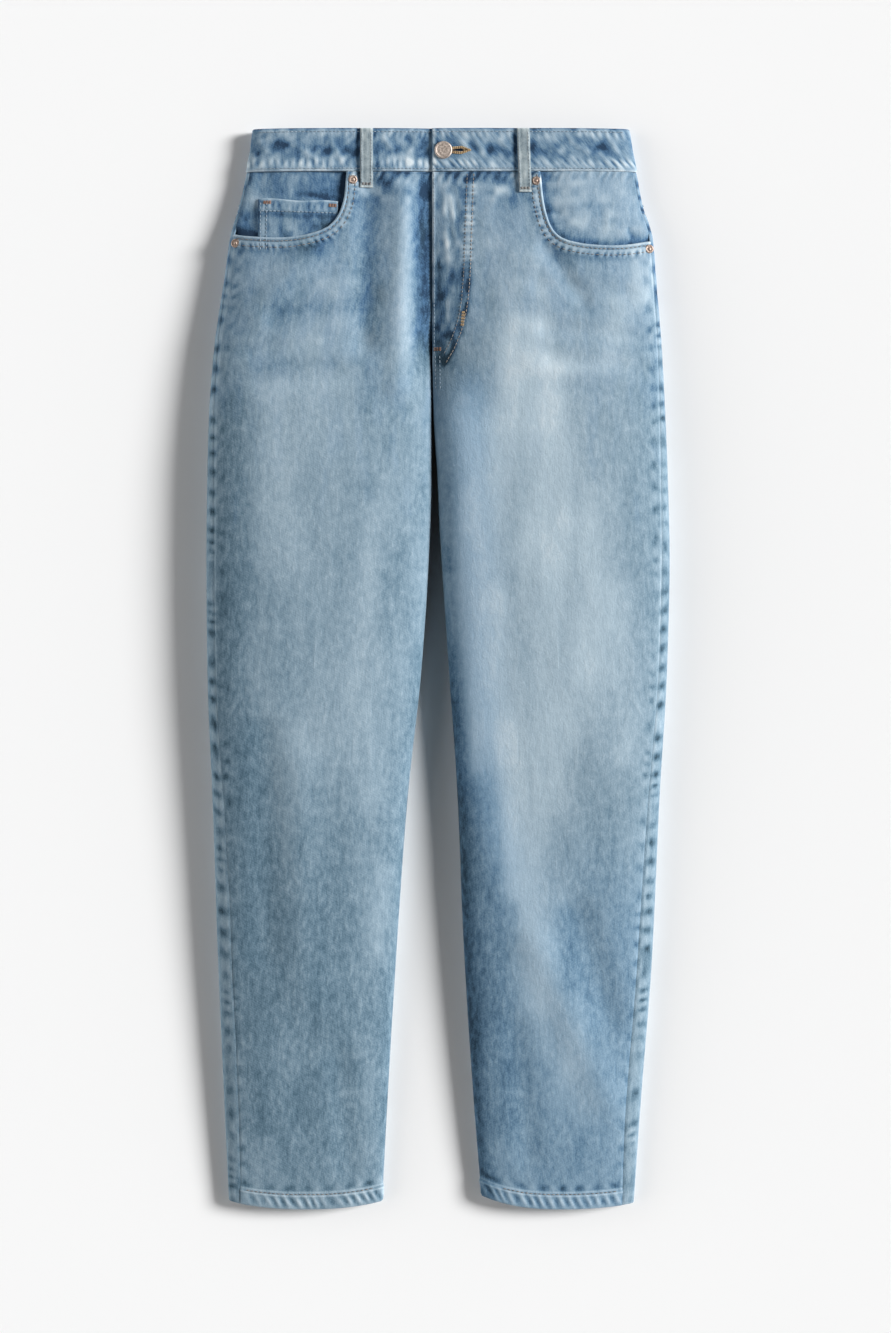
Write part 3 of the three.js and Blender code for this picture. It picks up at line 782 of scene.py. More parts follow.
@dataclass(frozen=True)
class PaintedFloor:
    """A smooth board painted matt near-white: plain and even, with a trace of tooth."""

    shade: str = "f5f5f5"

    def build(self) -> bpy.types.Material:
        """Makes the material.

        Returns: the material.
        """
        s = Shading("painted_floor")
        place = s.node("TexCoord").outputs["Object"]
        tooth = s.noise(place, (3.0, 3.0), 2.0)
        s.finish(linear(self.shade), 0.85, Specular_IOR_Level=0.1)
        s.bumps(tooth, 0.02, 0.3)
        return s.material


@dataclass(frozen=True)
class Thread:
    """Spun polyester-cotton sewing thread, washed pale: softly shiny, uneven in tone."""

    name: str
    dark: str
    light: str

    def build(self) -> bpy.types.Material:
        """Makes the material, which reads the attribute tone, one value for each stitch.

        Returns: the material.
        """
        s = Shading(self.name)
        place = s.node("TexCoord").outputs["Object"]
        fluff = s.math("SUBTRACT", s.noise(place, (0.6, 0.6), 2.0), 0.5)
        tone = s.math("ADD", s.math("MULTIPLY", s.attribute("tone", "Fac"), 0.45), 0.5)
        tone = s.math("ADD", tone, s.math("MULTIPLY", fluff, 0.6))
        colour = s.ramp(tone, ((0.0, self.dark), (1.0, self.light)))
        s.finish(colour, 0.7, Specular_IOR_Level=0.3)
        s.bumps(fluff, 0.1, 0.5)
        return s.material


@dataclass(frozen=True)
class AntiqueMetal:
    """Plated zinc, rubbed back: dull metal with a darker patina in the hollows and fine wear."""

    name: str
    dark: str
    light: str
    roughness: float

    def build(self) -> bpy.types.Material:
        """Makes the material.

        Returns: the material.
        """
        s = Shading(self.name)
        place = s.node("TexCoord").outputs["Object"]
        patina = s.noise(place, (1.6, 1.6), 4.0)
        colour = s.ramp(patina, ((0.3, self.dark), (0.7, self.light)))
        spread = s.math("MULTIPLY", patina, 0.25)
        s.finish(colour, s.math("ADD", spread, self.roughness), Metallic=1.0)
        s.bumps(patina, 0.06, 0.4)
        return s.material


@dataclass(frozen=True)
class WovenTape:
    """Zip tape of herringbone-woven polyester: dark blue, matt, with a fine rib."""

    name: str = "woven_tape"

    def build(self) -> bpy.types.Material:
        """Makes the material, which reads the attribute cloth.

        Returns: the material.
        """
        s = Shading(self.name)
        cloth = s.attribute("cloth", "Vector")
        rib = {"Vector": cloth, "Scale": 0.314 / (1.2 * MM), "Distortion": 0.6}
        wave = s.node("TexWave", rib).outputs["Fac"]
        s.finish(s.ramp(wave, ((0.0, "25384c"), (1.0, "3b536b"))), 0.85)
        s.bumps(wave, 0.15, 0.6)
        return s.material


# The belt loops rubbed the most, to a grey with hardly any blue.
GREYED = even_stops("33434f 566671 77868e 98a5aa b7c1c3 d5dbda")

# Lines and small shapes on the cloth.


@dataclass(frozen=True)
class Path:
    """A line on the garment as seen from above."""

    corners: tuple[tuple[float, float], ...]
    curved: bool = True

    @cached_property
    def line(self) -> Array:
        """Points of the line, close together: a Catmull-Rom curve or straight stretches.

        Returns: x and y of each point.
        """
        p = np.array(self.corners, float)
        if not self.curved:
            steps = np.linspace(0, len(p) - 1, 12 * (len(p) - 1) + 1)
            return np.stack([np.interp(steps, np.arange(len(p)), p[:, k]) for k in (0, 1)], -1)
        p = np.vstack([2 * p[0] - p[1], p, 2 * p[-1] - p[-2]])
        t = np.linspace(0, 1, 12, endpoint=False)[:, None]
        a, b, c, d = (p[k : len(p) - 3 + k][:, None] for k in range(4))
        powers = (2 * b, (c - a) * t, (2 * a - 5 * b + 4 * c - d) * t**2)
        run = 0.5 * (sum(powers) + (3 * b - a - 3 * c + d) * t**3)
        return np.vstack([run.reshape(-1, 2), p[-2]])

    @cached_property
    def lengths(self) -> Array:
        """Length along the line at each of its points."""
        return arc_lengths(self.line)

    @property
    def length(self) -> float:
        """The whole length."""
        return float(self.lengths[-1])

    def at(self, along: Array, aside: float = 0.0) -> Array:
        """Points at lengths along the line, moved aside to its left.

        Args: along: lengths in mm; aside: distance to the left.
        Returns: x and y of each point.
        """
        line = np.stack([np.interp(along, self.lengths, self.line[:, k]) for k in (0, 1)], -1)
        way = self.direction(along)
        return line + aside * np.stack([-way[:, 1], way[:, 0]], axis=-1)

    def direction(self, along: Array) -> Array:
        """Unit direction at lengths along the line.

        Args: along: lengths in mm.
        Returns: x and y of each direction.
        """
        ahead = np.clip(along + 0.5, 0, self.length)
        back = np.clip(along - 0.5, 0, self.length)
        points = [
            np.stack([np.interp(s, self.lengths, self.line[:, k]) for k in (0, 1)], -1)
            for s in (back, ahead)
        ]
        return unit(points[1] - points[0])

    def nearest(self, x: Array, y: Array) -> tuple[Array, Array]:
        """Finds the nearest point of the line.

        Args: x, y: places.
        Returns: the distance to it, positive on the line's left, and the length at which it lies.
        """
        shape = np.shape(x)
        px, py = np.ravel(x), np.ravel(y)
        best = np.full(px.shape, np.inf)
        side, along = np.zeros(px.shape), np.zeros(px.shape)
        for start, end, length in zip(self.line[:-1], self.line[1:], self.lengths):
            dx, dy = end - start
            squared = dx * dx + dy * dy
            t = np.clip(((px - start[0]) * dx + (py - start[1]) * dy) / squared, 0, 1)
            ox, oy = px - start[0] - t * dx, py - start[1] - t * dy
            away = np.hypot(ox, oy)
            closer = away < best
            best = np.where(closer, away, best)
            side = np.where(closer, np.sign(dx * oy - dy * ox), side)
            along = np.where(closer, length + t * math.sqrt(squared), along)
        return (best * side).reshape(shape), along.reshape(shape)


def straight(*corners: tuple[float, float]) -> Path:
    """A path of straight stretches between corners."""
    return Path(corners, curved=False)


@dataclass(frozen=True)
class Puckers:
    """Ridges and hollows in a row, where the thread of a seam draws the cloth in.

    The wave runs along the seam as a power of a cosine with an uneven step, less its mean level,
    and fades away from it as a Gaussian. Its ridges are paler, because they rub.
    """

    period: float
    reach: float
    height: float
    wear: float
    offset: float = 0.0
    slant: float = 0.0
    sharp: float = 1.0
    uneven: float = 0.45
    seed: int = 1
    level: float = 0.5

    def over(self, along: Array, away: Array) -> tuple[Array, Array]:
        """What the puckers add near their seam.

        Args: along, away: distances along it and from it.
        Returns: heights in mm and wear.
        """
        noise = Unevenness(self.seed)
        steps = (along + self.slant * away) / self.period
        steps = steps + self.uneven * noise.over(steps / 1.9, away / 40)
        wave = 2 * ((0.5 + 0.5 * np.cos(2 * math.pi * steps)) ** self.sharp - self.level)
        strength = 0.75 + 0.5 * noise.over(steps / 2.7 + 40, away / 30)
        pattern = wave * strength * bump(away - self.offset, self.reach)
        return self.height * pattern, self.wear * pattern


@dataclass
class Relief:
    """Heights and wear gathered for one face."""

    height: Array
    wear: Array

    def add(self, change: tuple[Array, Array]) -> None:
        """Adds a height and a wear."""
        self.height = self.height + change[0]
        self.wear = self.wear + change[1]

    def crease(self, x: Array, y: Array, rows: Sequence[Crease]) -> None:
        """Adds creases, each with its own height and wear.

        Args: x, y: the face's places; rows: the creases.
        """
        for row in rows:
            weight = row.weight(x, y)
            self.add((row.height * weight, row.wear * weight))


POCKET_EDGE = {
    Side.RIGHT: Path(
        (
            (-84.5, 462.0), (-87.6, 431.6), (-96.7, 412.5), (-113.7, 402.7), (-140.6, 398.0),
            (-173.0, 399.4), (-192.0, 402.5),
        )
    ),
    Side.LEFT: Path(
        (
            (94.4, 462.0), (99.0, 424.6), (109.0, 401.6), (130.5, 392.7), (167.2, 390.9),
            (201.5, 396.5),
        )
    ),
}


# What seams, folds and the wash do to the fronts.

# Painted shade along the inner edge of each leg, beside the dark gap between the legs.
INNER_SHADE = {Side.RIGHT: 0.1, Side.LEFT: 0.4}

# Rows of creases, here and below: x0, y0, x1, y1, width, height, wear.
# On the right, the dark strokes of the rows at x -10 to -18 are painted shadow in the groove beside
# the fly's lap.
HIP_CREASES = {
    Side.RIGHT: creases(
        (
            (-31, 452, -33, 268, 8, 0.6, 0.18), (-17, 456, -18, 255, 6, -0.5, -0.26),
            (-10, 456, -10, 262, 5, -0.6, -0.3), (-11, 459, -11, 428, 6, -0.4, -0.34),
            (-62, 446, -64, 330, 10, 0.0, -0.2), (-54, 458, -44, 440, 5, -0.3, -0.3),
            (-50, 444, -34, 452, 3, 0.3, 0.14), (-76, 452, -60, 425, 4, 0.5, 0.12),
            (-92, 380, -190, 356, 12, 0.3, 0.07), (-70, 358, -118, 352, 8, 0.3, 0.1),
            (-60, 334, -180, 330, 8, -0.5, -0.13), (-100, 304, -150, 299, 8, 0.4, 0.05),
            (-72, 282, -186, 276, 7, -0.4, -0.08), (-70, 262, -180, 258, 9, 0.4, 0.05),
            (-100, 388, -128, 384, 6, -0.2, -0.14),
        ),
        taper=0.25,
    ),
    Side.LEFT: creases(
        (
            (62, 384, 96, 370, 11, 0.4, 0.04), (100, 382, 132, 374, 7, -0.3, -0.16),
            (60, 356, 104, 350, 8, 0.4, 0.04), (104, 336, 170, 328, 8, -0.5, -0.08),
            (58, 320, 110, 316, 9, 0.5, 0.12), (64, 300, 186, 296, 8, -0.4, -0.04),
            (60, 280, 180, 276, 10, 0.4, 0.09), (70, 262, 150, 262, 8, -0.3, -0.04),
            (60, 452, 40, 405, 4, 0.4, 0.1), (86, 440, 60, 380, 8, 0.3, 0.06),
        ),
        taper=0.25,
    ),
}


@dataclass(frozen=True)
class Fade:
    """A soft line or cloud of stronger or weaker bleach, or of painted shade, along a path,
    Gaussian across it.
    """

    width: float
    wear: float
    path: Path

    def over(self, x: Array, y: Array) -> Array:
        """The wear that it adds."""
        return self.wear * bump(self.path.nearest(x, y)[0], self.width)


def fades(rows: Sequence[tuple]) -> tuple[Fade, ...]:
    """One fade for each row: width, wear, and then the corners of its path."""
    return tuple(Fade(width, wear, Path(corners)) for width, wear, *corners in rows)


FADES = {
    Side.RIGHT: fades(
        (
            (36, 0.09, (-118, 290), (-112, 120), (-108, -60)),
            (14, 0.12, (-60, 150), (-66, 60), (-62, -120)),
            (16, -0.14, (-191, 240), (-192, 0), (-178, -260), (-166, -420)),
            (18, -0.12, (-168, -60), (-160, -200), (-152, -330)),
            (50, -0.1, (-110, -160), (-105, -420)),
            (14, 0.06, (-140, -40), (-138, -200)),
            (13, -0.16, (-110, 388), (-124, 384)),
            (22, 0.1, (-150, 250), (-145, 100)),
            (8, -0.18, (-65, 447), (-64, 434)),
            # Painted shadow in the groove beside the fly's lap.
            (7, -0.1, (-13, 462), (-14, 330)),
            (10, 0.1, (-66, 212), (-66, 188)),
            (16, -0.1, (-138, -395), (-140, -480)),
            (8, -0.2, (-65, 340), (-64, 318)),
            (11, 0.12, (-92, 338), (-92, 320)),
            (10, 0.14, (-48, -190), (-52, -262)),
            (11, -0.12, (-115, -380), (-115, -415)),
        )
    ),
    Side.LEFT: fades(
        (
            (40, 0.1, (125, 330), (134, 60), (142, -40)),
            (20, 0.1, (66, 300), (50, 200), (44, 60), (50, -60)),
            (20, 0.12, (46, 220), (44, 60), (50, -80)),
            (30, 0.12, (84, 372), (70, 300), (64, 180), (80, 120)),
            (14, 0.08, (116, 200), (118, 140)),
            (26, 0.17, (90, 290), (98, 200), (96, 60), (98, -60), (98, -300)),
            (20, 0.15, (56, 60), (70, -90), (84, -210), (102, -330), (130, -400)),
            (12, 0.15, (60, -60), (65, -200)),
            (12, 0.17, (24, 245), (24, 60), (32, -90)),
            (20, 0.16, (138, 120), (140, 0)),
            (18, 0.12, (166, 70), (168, -70)),
            (14, 0.2, (188, 388), (190, 345)),
            (14, 0.14, (166, 338), (162, 290)),
            (15, 0.12, (105, 275), (102, 228)),
            (22, 0.1, (122, -40), (112, -110)),
            (16, 0.13, (124, -336), (132, -362)),
            (13, -0.16, (116, -230), (120, -290)),
            (16, -0.12, (46, -190), (62, -420)),
            (40, -0.06, (110, -200), (120, -440)),
            (9, -0.18, (66, 447), (66, 434)),
            (14, 0.12, (44, 390), (46, 350)),
            (12, 0.08, (28, 160), (50, 60)),
            (12, 0.1, (168, -80), (160, -110)),
            (14, 0.12, (142, 160), (140, 140)),
        )
    ),
}

FLY_STITCH = Path(
    ((33.5, 458.0), (31.5, 400.0), (29.8, 360.0), (26.0, 326.0), (17.5, 300.0), (7.6, 282.0))
)


def side_seam(side: Side, y: Array, outer: Array) -> tuple[Array, Array]:
    """What the side seam's two allowances do to the cloth over them, on front and back alike.

    The allowances rub through in rows of blue blotches, strong on the back's side of a thin pale
    line and weak on the front's.

    Args:
        side: which leg.
        y: places along it.
        outer: distances from the seam towards the front, negative on the back.
    Returns: heights in mm and wear.
    """
    line = np.interp(y, (-250, 0, 340), (-4.5, 0, 3 if side is Side.RIGHT else 1))
    away = outer - line
    seed = 24 + 2 * side.value
    strong = Puckers(17, 3.8, -0.2, -0.27, -3.2, 0.2, 2.0, 1.0, seed, 0.2).over(y, away)
    weak = Puckers(19, 3.2, -0.15, -0.15, 6.0, -0.2, 2.0, 1.1, seed + 1, 0.2).over(y, away)
    return strong[0] + weak[0], strong[1] + weak[1] + 0.14 * bump(away, 1.1)


def seam_relief(side: Side, face: Face, relief: Relief) -> None:
    """Adds the waist seam, side seam, inner edge and hem to a front.

    The hem's fold has a pale ridge on each side of its stitches and dark hollows below them.

    Args: side: which leg; face: its front; relief: what is added to.
    """
    x, y = face.x, face.y
    f = FORM.slice(side, y)
    across = side.value * x
    waist, outer, inner = WAIST_SEAM - y, f.seam - across, across - f.inner
    hem = y - FORM.hem(side, across)
    seed = 20 + side.value
    relief.add(Puckers(8.5, 8, 0.32, 0.26, 3, 0.6, seed=seed).over(x, waist))
    patches = Unevenness(seed + 1).over(x / 7, y / 9) * smooth(415, 450, y)
    relief.add((-0.9 * bump(waist, 0.9), 0.3 * patches - 0.25 * bump(waist - 1.5, 1.2)))
    relief.add(side_seam(side, y, outer))
    relief.add((-0.25 * bump(outer, 0.9), 0.0))
    # Lower down, the inner edge is darkened with painted shade.
    below = 1 - smooth(-40, 90, y)
    relief.add((-0.5 * bump(inner, 0.8), -INNER_SHADE[side] * bump(inner - 2, 11) * below))
    fold = 1 - smooth(13, 16, hem)
    relief.add((0.7 * fold - 0.8 * bump(hem, 0.7), 0.05 * fold + 0.1 * bump(hem, 1.6)))
    relief.add(Puckers(9, 5.0, 0.35, 0.34, 7, 0.5, 1.2, 0.4, seed + 9).over(x, hem))
    ridges = bump(hem - 12.4, 0.9) + bump(hem - 15.8, 0.9)
    relief.add((0.2 * ridges, 0.24 * ridges))
    patches = Puckers(19, 3.0, -0.2, -0.26, 19.5, 0.3, 1.0, 0.8, seed + 13, 0.3)
    relief.add(patches.over(x, hem))


def pocket_relief(side: Side, face: Face, relief: Relief) -> None:
    """Adds the pocket opening's rolled double edge, the puckers of its two rows of stitches and a
    strip of painted shadow beyond them.

    Args: side: which leg; face: its front; relief: what is added to.
    """
    away, along = POCKET_EDGE[side].nearest(face.x, face.y)
    inside = np.abs(away)
    roll = 0.8 * bump(inside - 1.5, 1.3) - 0.5 * bump(inside, 0.5)
    relief.add((roll - 0.3 * bump(inside - 3.4, 0.9), 0.2 * bump(inside - 1.2, 1.4)))
    worn = -0.22 * bump(inside - 3.4, 0.9) + 0.14 * bump(inside - 5.8, 1.8)
    relief.add((0.2 * bump(inside - 6, 2), worn))
    relief.add(Puckers(5.8, 2.6, -0.3, -0.3, 9.0, 0.2, 1.6, 0.5, 31, 0.3).over(along, inside))
    # The raised band of the two rows ends in a strip of painted shadow beyond it.
    relief.add((0.25 * (1 - smooth(10.5, 12.5, inside)), -0.12 * bump(inside - 13, 2.5)))


def fly_relief(face: Face, relief: Relief) -> None:
    """Adds the left front's folded fly edge, the curved row of stitches and its creases.

    Args: face: the left front; relief: what is added to.
    """
    x, y = face.x, face.y
    edge = x - FORM.slice(Side.LEFT, y).inner
    upper = smooth(272, 284, y)
    away, along = FLY_STITCH.nearest(x, y)
    placket = upper * (1 - smooth(-2, 4, away))
    low = 1 - smooth(366, 384, y)
    relief.add((0.3 * upper * bump(edge - 1.5, 1.4), 0.4 * upper * bump(edge - 1.0, 1.3)))
    mottle = Unevenness(43).over(x / 4.5, y / 7)
    worn = placket * ((0.18 + 0.14 * low) * mottle + 0.04 - 0.24 * low)
    relief.add((0.1 * placket * mottle, worn))
    worn = -0.26 * upper * low * bump(away + 1, 2.6)
    relief.add((-0.3 * upper * low * bump(away + 1, 2.5), worn))
    high = upper * (1 - low)
    for row in (-0.5, -6.5):
        ticks = Puckers(7, 2.2, -0.3, -0.56, row, 0.0, 1.5, 0.4, 41, 0.35)
        height, wear = ticks.over(along, away)
        relief.add((height * high, wear * high))
    relief.add((0.2 * high * bump(away + 3.5, 5), 0.16 * high * bump(away + 3.5, 4.5)))
    relief.crease(x, y, FLY_CREASES)


FLY_CREASES = creases(
    (
        (7.5, 450, 5.5, 412, 2.6, 0.6, 0.42), (5.5, 414, 11, 368, 2.8, 0.5, 0.44),
        (10, 444, 16.5, 408, 2.2, 0.6, 0.34), (19.5, 437, 24, 416, 1.8, 0.4, 0.16),
        (21, 450, 23, 410, 5.0, 0.0, -0.26), (6, 344, 8, 320, 5.0, 0.0, 0.2),
        (9, 120, 10, 78, 5.0, 0.0, -0.16), (10.5, 428, 12, 392, 1.4, -0.4, -0.2),
        (13, 451, 22, 441, 3.0, 0.0, -0.3), (17, 432, 19, 400, 2.0, -0.4, -0.24),
        (0, 440, -1, 384, 3.4, 0.0, -0.06), (46, 396, 42, 320, 8.0, -0.4, -0.12),
        (-4, 454, 66, 452, 6.0, 0.0, -0.3), (10, 300, 12, 274, 6.0, 0.0, -0.2),
        (2, 396, 2, 300, 3.0, 0.0, -0.1), (34, 450, 70, 440, 4.0, 0.3, 0.14),
    ),
    taper=0.3,
)


def front_relief(side: Side, face: Face) -> Relief:
    """The small relief, the wash and the painted shade of a front panel.

    Args: side: which leg; face: its front.
    Returns: heights in mm and wear.
    """
    x, y = face.x, face.y
    noise = Unevenness(3 if side is Side.RIGHT else 4)
    low = 0.22 * noise.over(x / 24, y / 70) + 0.08 * noise.over(x / 9 + 50, y / 26)
    cloudy = 0.05 * noise.over(x / 16 + 9, y / 80) + 0.03 * noise.over(x / 7 + 70, y / 34)
    relief = Relief(low, 0.5 + cloudy)
    relief.crease(x, y, HIP_CREASES[side])
    for fade in FADES[side]:
        relief.add((0.0, fade.over(x, y)))
    # Bleach works less on cloth that is already pale: only a third of what is over 0.84 counts.
    relief.wear = relief.wear - 0.66 * np.maximum(relief.wear - 0.84, 0.0)
    seam_relief(side, face, relief)
    pocket_relief(side, face, relief)
    if side is Side.LEFT:
        fly_relief(face, relief)
    return relief


@dataclass(frozen=True)
class FrontPanel:
    """The front of one leg, from the hem to the waistband, with the pocket opening cut out of it.

    Below the hip its grid has even columns across the leg and level rows, drawn up at the hem's
    curve. Above y = 300 a point is the straight mix of its column's foot and its column's head,
    and the heads are spread along the waist seam and the pocket edge.
    """

    side: Side
    columns: int = 144
    leg_rows: int = 420
    hip_rows: int = 84
    width: float = 222.0
    hip_length: float = 160.0
    hip_from: float = 300.0
    top: float = WAIST_SEAM - SEAM_GAP

    def shares(self) -> Array:
        """Shares across the panel, closer at both edges."""
        return edge_fine(self.columns, self.width)

    def even(self) -> Array:
        """Where columns that are even along the arc lie, at a typical height.

        Returns: for each, the share of w from the inner edge to the side seam.
        """
        w = np.linspace(-1, 1, 801)
        run = FORM.front(self.side, w, np.full_like(w, TYPICAL_Y))
        arc = arc_lengths(run)
        seam = float(FORM.seam_parameter(self.side, np.array(TYPICAL_Y)))
        whole = np.interp(seam, w, arc)
        spread = np.interp(self.shares() * whole, arc, w)
        return (spread + 1) / (seam + 1)

    def head(self) -> tuple[Array, Array]:
        """Where the columns end, on the waist seam and the pocket edge.

        Returns: distances from x = 0, and y.
        """
        f = FORM.slice(self.side, np.array(self.top))
        edge = POCKET_EDGE[self.side].line
        curve = np.stack([edge[:, 0] * self.side.value, edge[:, 1]], axis=-1)
        start = np.interp(-self.top, -curve[:8, 1], curve[:8, 0])
        below = curve[curve[:, 1] < self.top - 0.5]
        inside = below[below[:, 0] < FORM.slice(self.side, below[:, 1]).seam]
        last = np.array([[inside[-1, 0] + 2, inside[-1, 1]]])
        last[0, 0] = float(FORM.slice(self.side, last[0, 1]).seam)
        run = np.vstack([[float(f.inner), self.top], [start, self.top], inside, last])
        arc = arc_lengths(run)
        shares = self.shares()
        corner = int(np.argmin(np.abs(shares - arc[1] / arc[-1])))
        spread = np.interp(shares, [0, shares[corner], 1], [0, arc[1] / arc[-1], 1]) * arc[-1]
        return np.interp(spread, arc, run[:, 0]), np.interp(spread, arc, run[:, 1])

    def plan(self) -> tuple[Array, Array]:
        """Lays out the grid, row by row from the hem.

        Returns: the form's w and y at each point.
        """
        spread = self.even()
        leg = self.hip_from + HALF_LENGTH
        level = -HALF_LENGTH + leg * edge_fine(self.leg_rows, leg)
        # Closer rows carry the two fine ridges beside the hem's stitches.
        extra = -HALF_LENGTH + np.linspace(11.0, 17.3, 12)
        level = np.sort(np.concatenate([level[:-3], extra]))
        level = np.append(level, self.hip_from)[:, None]
        w = -1 + spread * (1 + FORM.seam_parameter(self.side, level))
        across = self.side.value * FORM.front(self.side, w, level)[..., 0]
        y = level + FORM.hem_rise(self.side, across, level)
        foot = FORM.slice(self.side, np.array(self.hip_from))
        a_foot = (across[-1] - foot.inner) / (foot.seam - foot.inner)
        head_x, head_y = self.head()
        top = FORM.slice(self.side, head_y)
        a_head = (head_x - top.inner) / (top.seam - top.inner)
        t = edge_fine(2 * self.hip_rows, 2 * self.hip_length)[self.hip_rows :] * 2 - 1
        t = t[1:, None]
        a = (1 - t) * a_foot + t * a_head
        hip_y = (1 - t) * self.hip_from + t * head_y
        f = FORM.slice(self.side, hip_y)
        hip_x = self.side.value * (f.inner + a * (f.seam - f.inner))
        hip_w = FORM.parameter(self.side, hip_x, hip_y)
        hip_w[:, 0] = -1
        return np.vstack([w, hip_w]), np.vstack([y, hip_y])

    def face(self) -> Face:
        """The outer face with its folds, puckers and wash.

        Returns: the face.
        """
        w, y = self.plan()
        points = FORM.front(self.side, w, y)
        normals = grid_normals(points, self.side.value)
        middle = FORM.slice(self.side, y).middle
        across = self.side.value * points[..., 0] - middle
        length = across * np.interp(np.abs(w), *self.stretch())
        face = Face(points, normals, length, y, np.zeros_like(y))
        relief = front_relief(self.side, face)
        face.wear = relief.wear
        if self.side is Side.LEFT:
            strip = bump(face.x - np.interp(y, (-200, -100, 250), (62, 40, 26)), 23)
            thigh = smooth(-270, -100, y) * (1 - smooth(230, 300, y))
            face.blue = 0.8 * strip * thigh + 0.36 * (1 - smooth(-270, -100, y))
        return face.raised(relief.height)

    def stretch(self) -> tuple[Array, Array]:
        """How much longer the arc from the crown is than the width it spans.

        Returns: steps of |w|, and the ratio at each.
        """
        w = np.linspace(0, 1, 81)
        run = FORM.front(self.side, w, np.full_like(w, TYPICAL_Y))
        arc = arc_lengths(run)
        width = np.abs(run[:, 0] - run[0, 0])
        return w, np.concatenate([[1.0], arc[1:] / width[1:]])


# The folds of the face that lies down, under the seat and behind the knees.
BACK_CREASES = creases(
    (
        (-34, 262, -96, 226, 6.0, -0.8, -0.14), (-40, 236, -88, 214, 4.5, -0.6, 0.14),
        (-52, 204, -132, 190, 7.0, -0.8, -0.14), (-150, 262, -184, 236, 5.0, -0.5, 0.17),
        (-44, 150, -92, 158, 5.5, -0.5, -0.12), (-70, -104, -142, -118, 6.5, -0.8, -0.14),
        (-88, -128, -168, -136, 5.0, -0.6, 0.14), (-64, -158, -116, -146, 6.0, -0.7, -0.13),
        (-108, -190, -164, -182, 5.0, -0.5, 0.12), (-82, -262, -128, -300, 6.5, -0.5, -0.12),
        (-96, -372, -140, -392, 6.0, -0.5, 0.1), (38, 256, 90, 232, 5.5, -0.8, -0.14),
        (44, 226, 128, 206, 6.5, -0.7, 0.14), (60, 186, 112, 180, 4.5, -0.5, -0.12),
        (146, 250, 182, 216, 5.5, -0.6, 0.17), (120, 120, 176, 132, 5.5, -0.5, -0.12),
        (58, -92, 150, -112, 7.0, -0.8, -0.14), (80, -124, 134, -122, 5.0, -0.6, 0.14),
        (66, -150, 158, -168, 6.0, -0.7, -0.13), (76, -206, 124, -192, 5.0, -0.5, 0.12),
        (88, -284, 146, -312, 6.5, -0.5, -0.12), (92, -404, 126, -390, 5.5, -0.5, 0.1),
    ),
    taper=0.12,
)


def rounded_edges(face: Face, waste: float = 0.5) -> Array:
    """Heights that let a face sink over the last millimetre at its four edges.

    Args: face: the face; waste: how far its very edge sinks, in mm.
    Returns: the heights.
    """
    step = np.linalg.norm(np.diff(face.points, axis=1), axis=2)
    run = np.concatenate([np.zeros((len(step), 1)), np.cumsum(step, axis=1)], axis=1)
    rise = np.linalg.norm(np.diff(face.points, axis=0), axis=2)
    climb = np.concatenate([np.zeros((1, rise.shape[1])), np.cumsum(rise, axis=0)], axis=0)
    gaps = (run, run[:, -1:] - run, climb, climb[-1:] - climb)
    return -waste * sum(bump(gap, 0.7) for gap in gaps)


def lengths_across(points: Array) -> Array:
    """Length along each row of a grid from its first point."""
    step = np.linalg.norm(np.diff(points, axis=1), axis=2)
    return np.concatenate([np.zeros((len(step), 1)), np.cumsum(step, axis=1)], axis=1)


# The w of the back's lines: over the outer edge, round it, along the flat, up the inner edge.
BACK_SPREAD = np.concatenate(
    [
        [0.0, 0.06, 0.14, 0.26, 0.42, 0.62, 0.8, 1.0],
        np.linspace(1, 2, 11)[1:],
        np.linspace(2, 3, 41)[1:],
        np.linspace(3, 4, 7)[1:],
    ]
)

YOKE_SIDE = 422.0
YOKE_CENTRE = 392.0


def yoke_seam(side: Side, w: Array) -> Array:
    """The y of the seam under the yoke: it drops in a straight line to the centre back.

    Args: side: which leg; w: places across the back.
    Returns: the y there.
    """
    level = np.full_like(w, (YOKE_SIDE + YOKE_CENTRE) / 2)
    across = side.value * FORM.back(side, w, level)[..., 0]
    share = np.clip(across / FORM.slice(side, level).outer, 0, 1)
    return YOKE_CENTRE + (YOKE_SIDE - YOKE_CENTRE) * share


def back_face(side: Side, w: Array, y: Array) -> Face:
    """The bare outer face of a back piece at a grid of w and y.

    Args: side: which leg; w, y: the grid.
    Returns: the face.
    """
    points = FORM.back(side, w, y)
    normals = grid_normals(points, side.value)
    return Face(points, normals, lengths_across(points), y, np.full_like(y, 0.5))


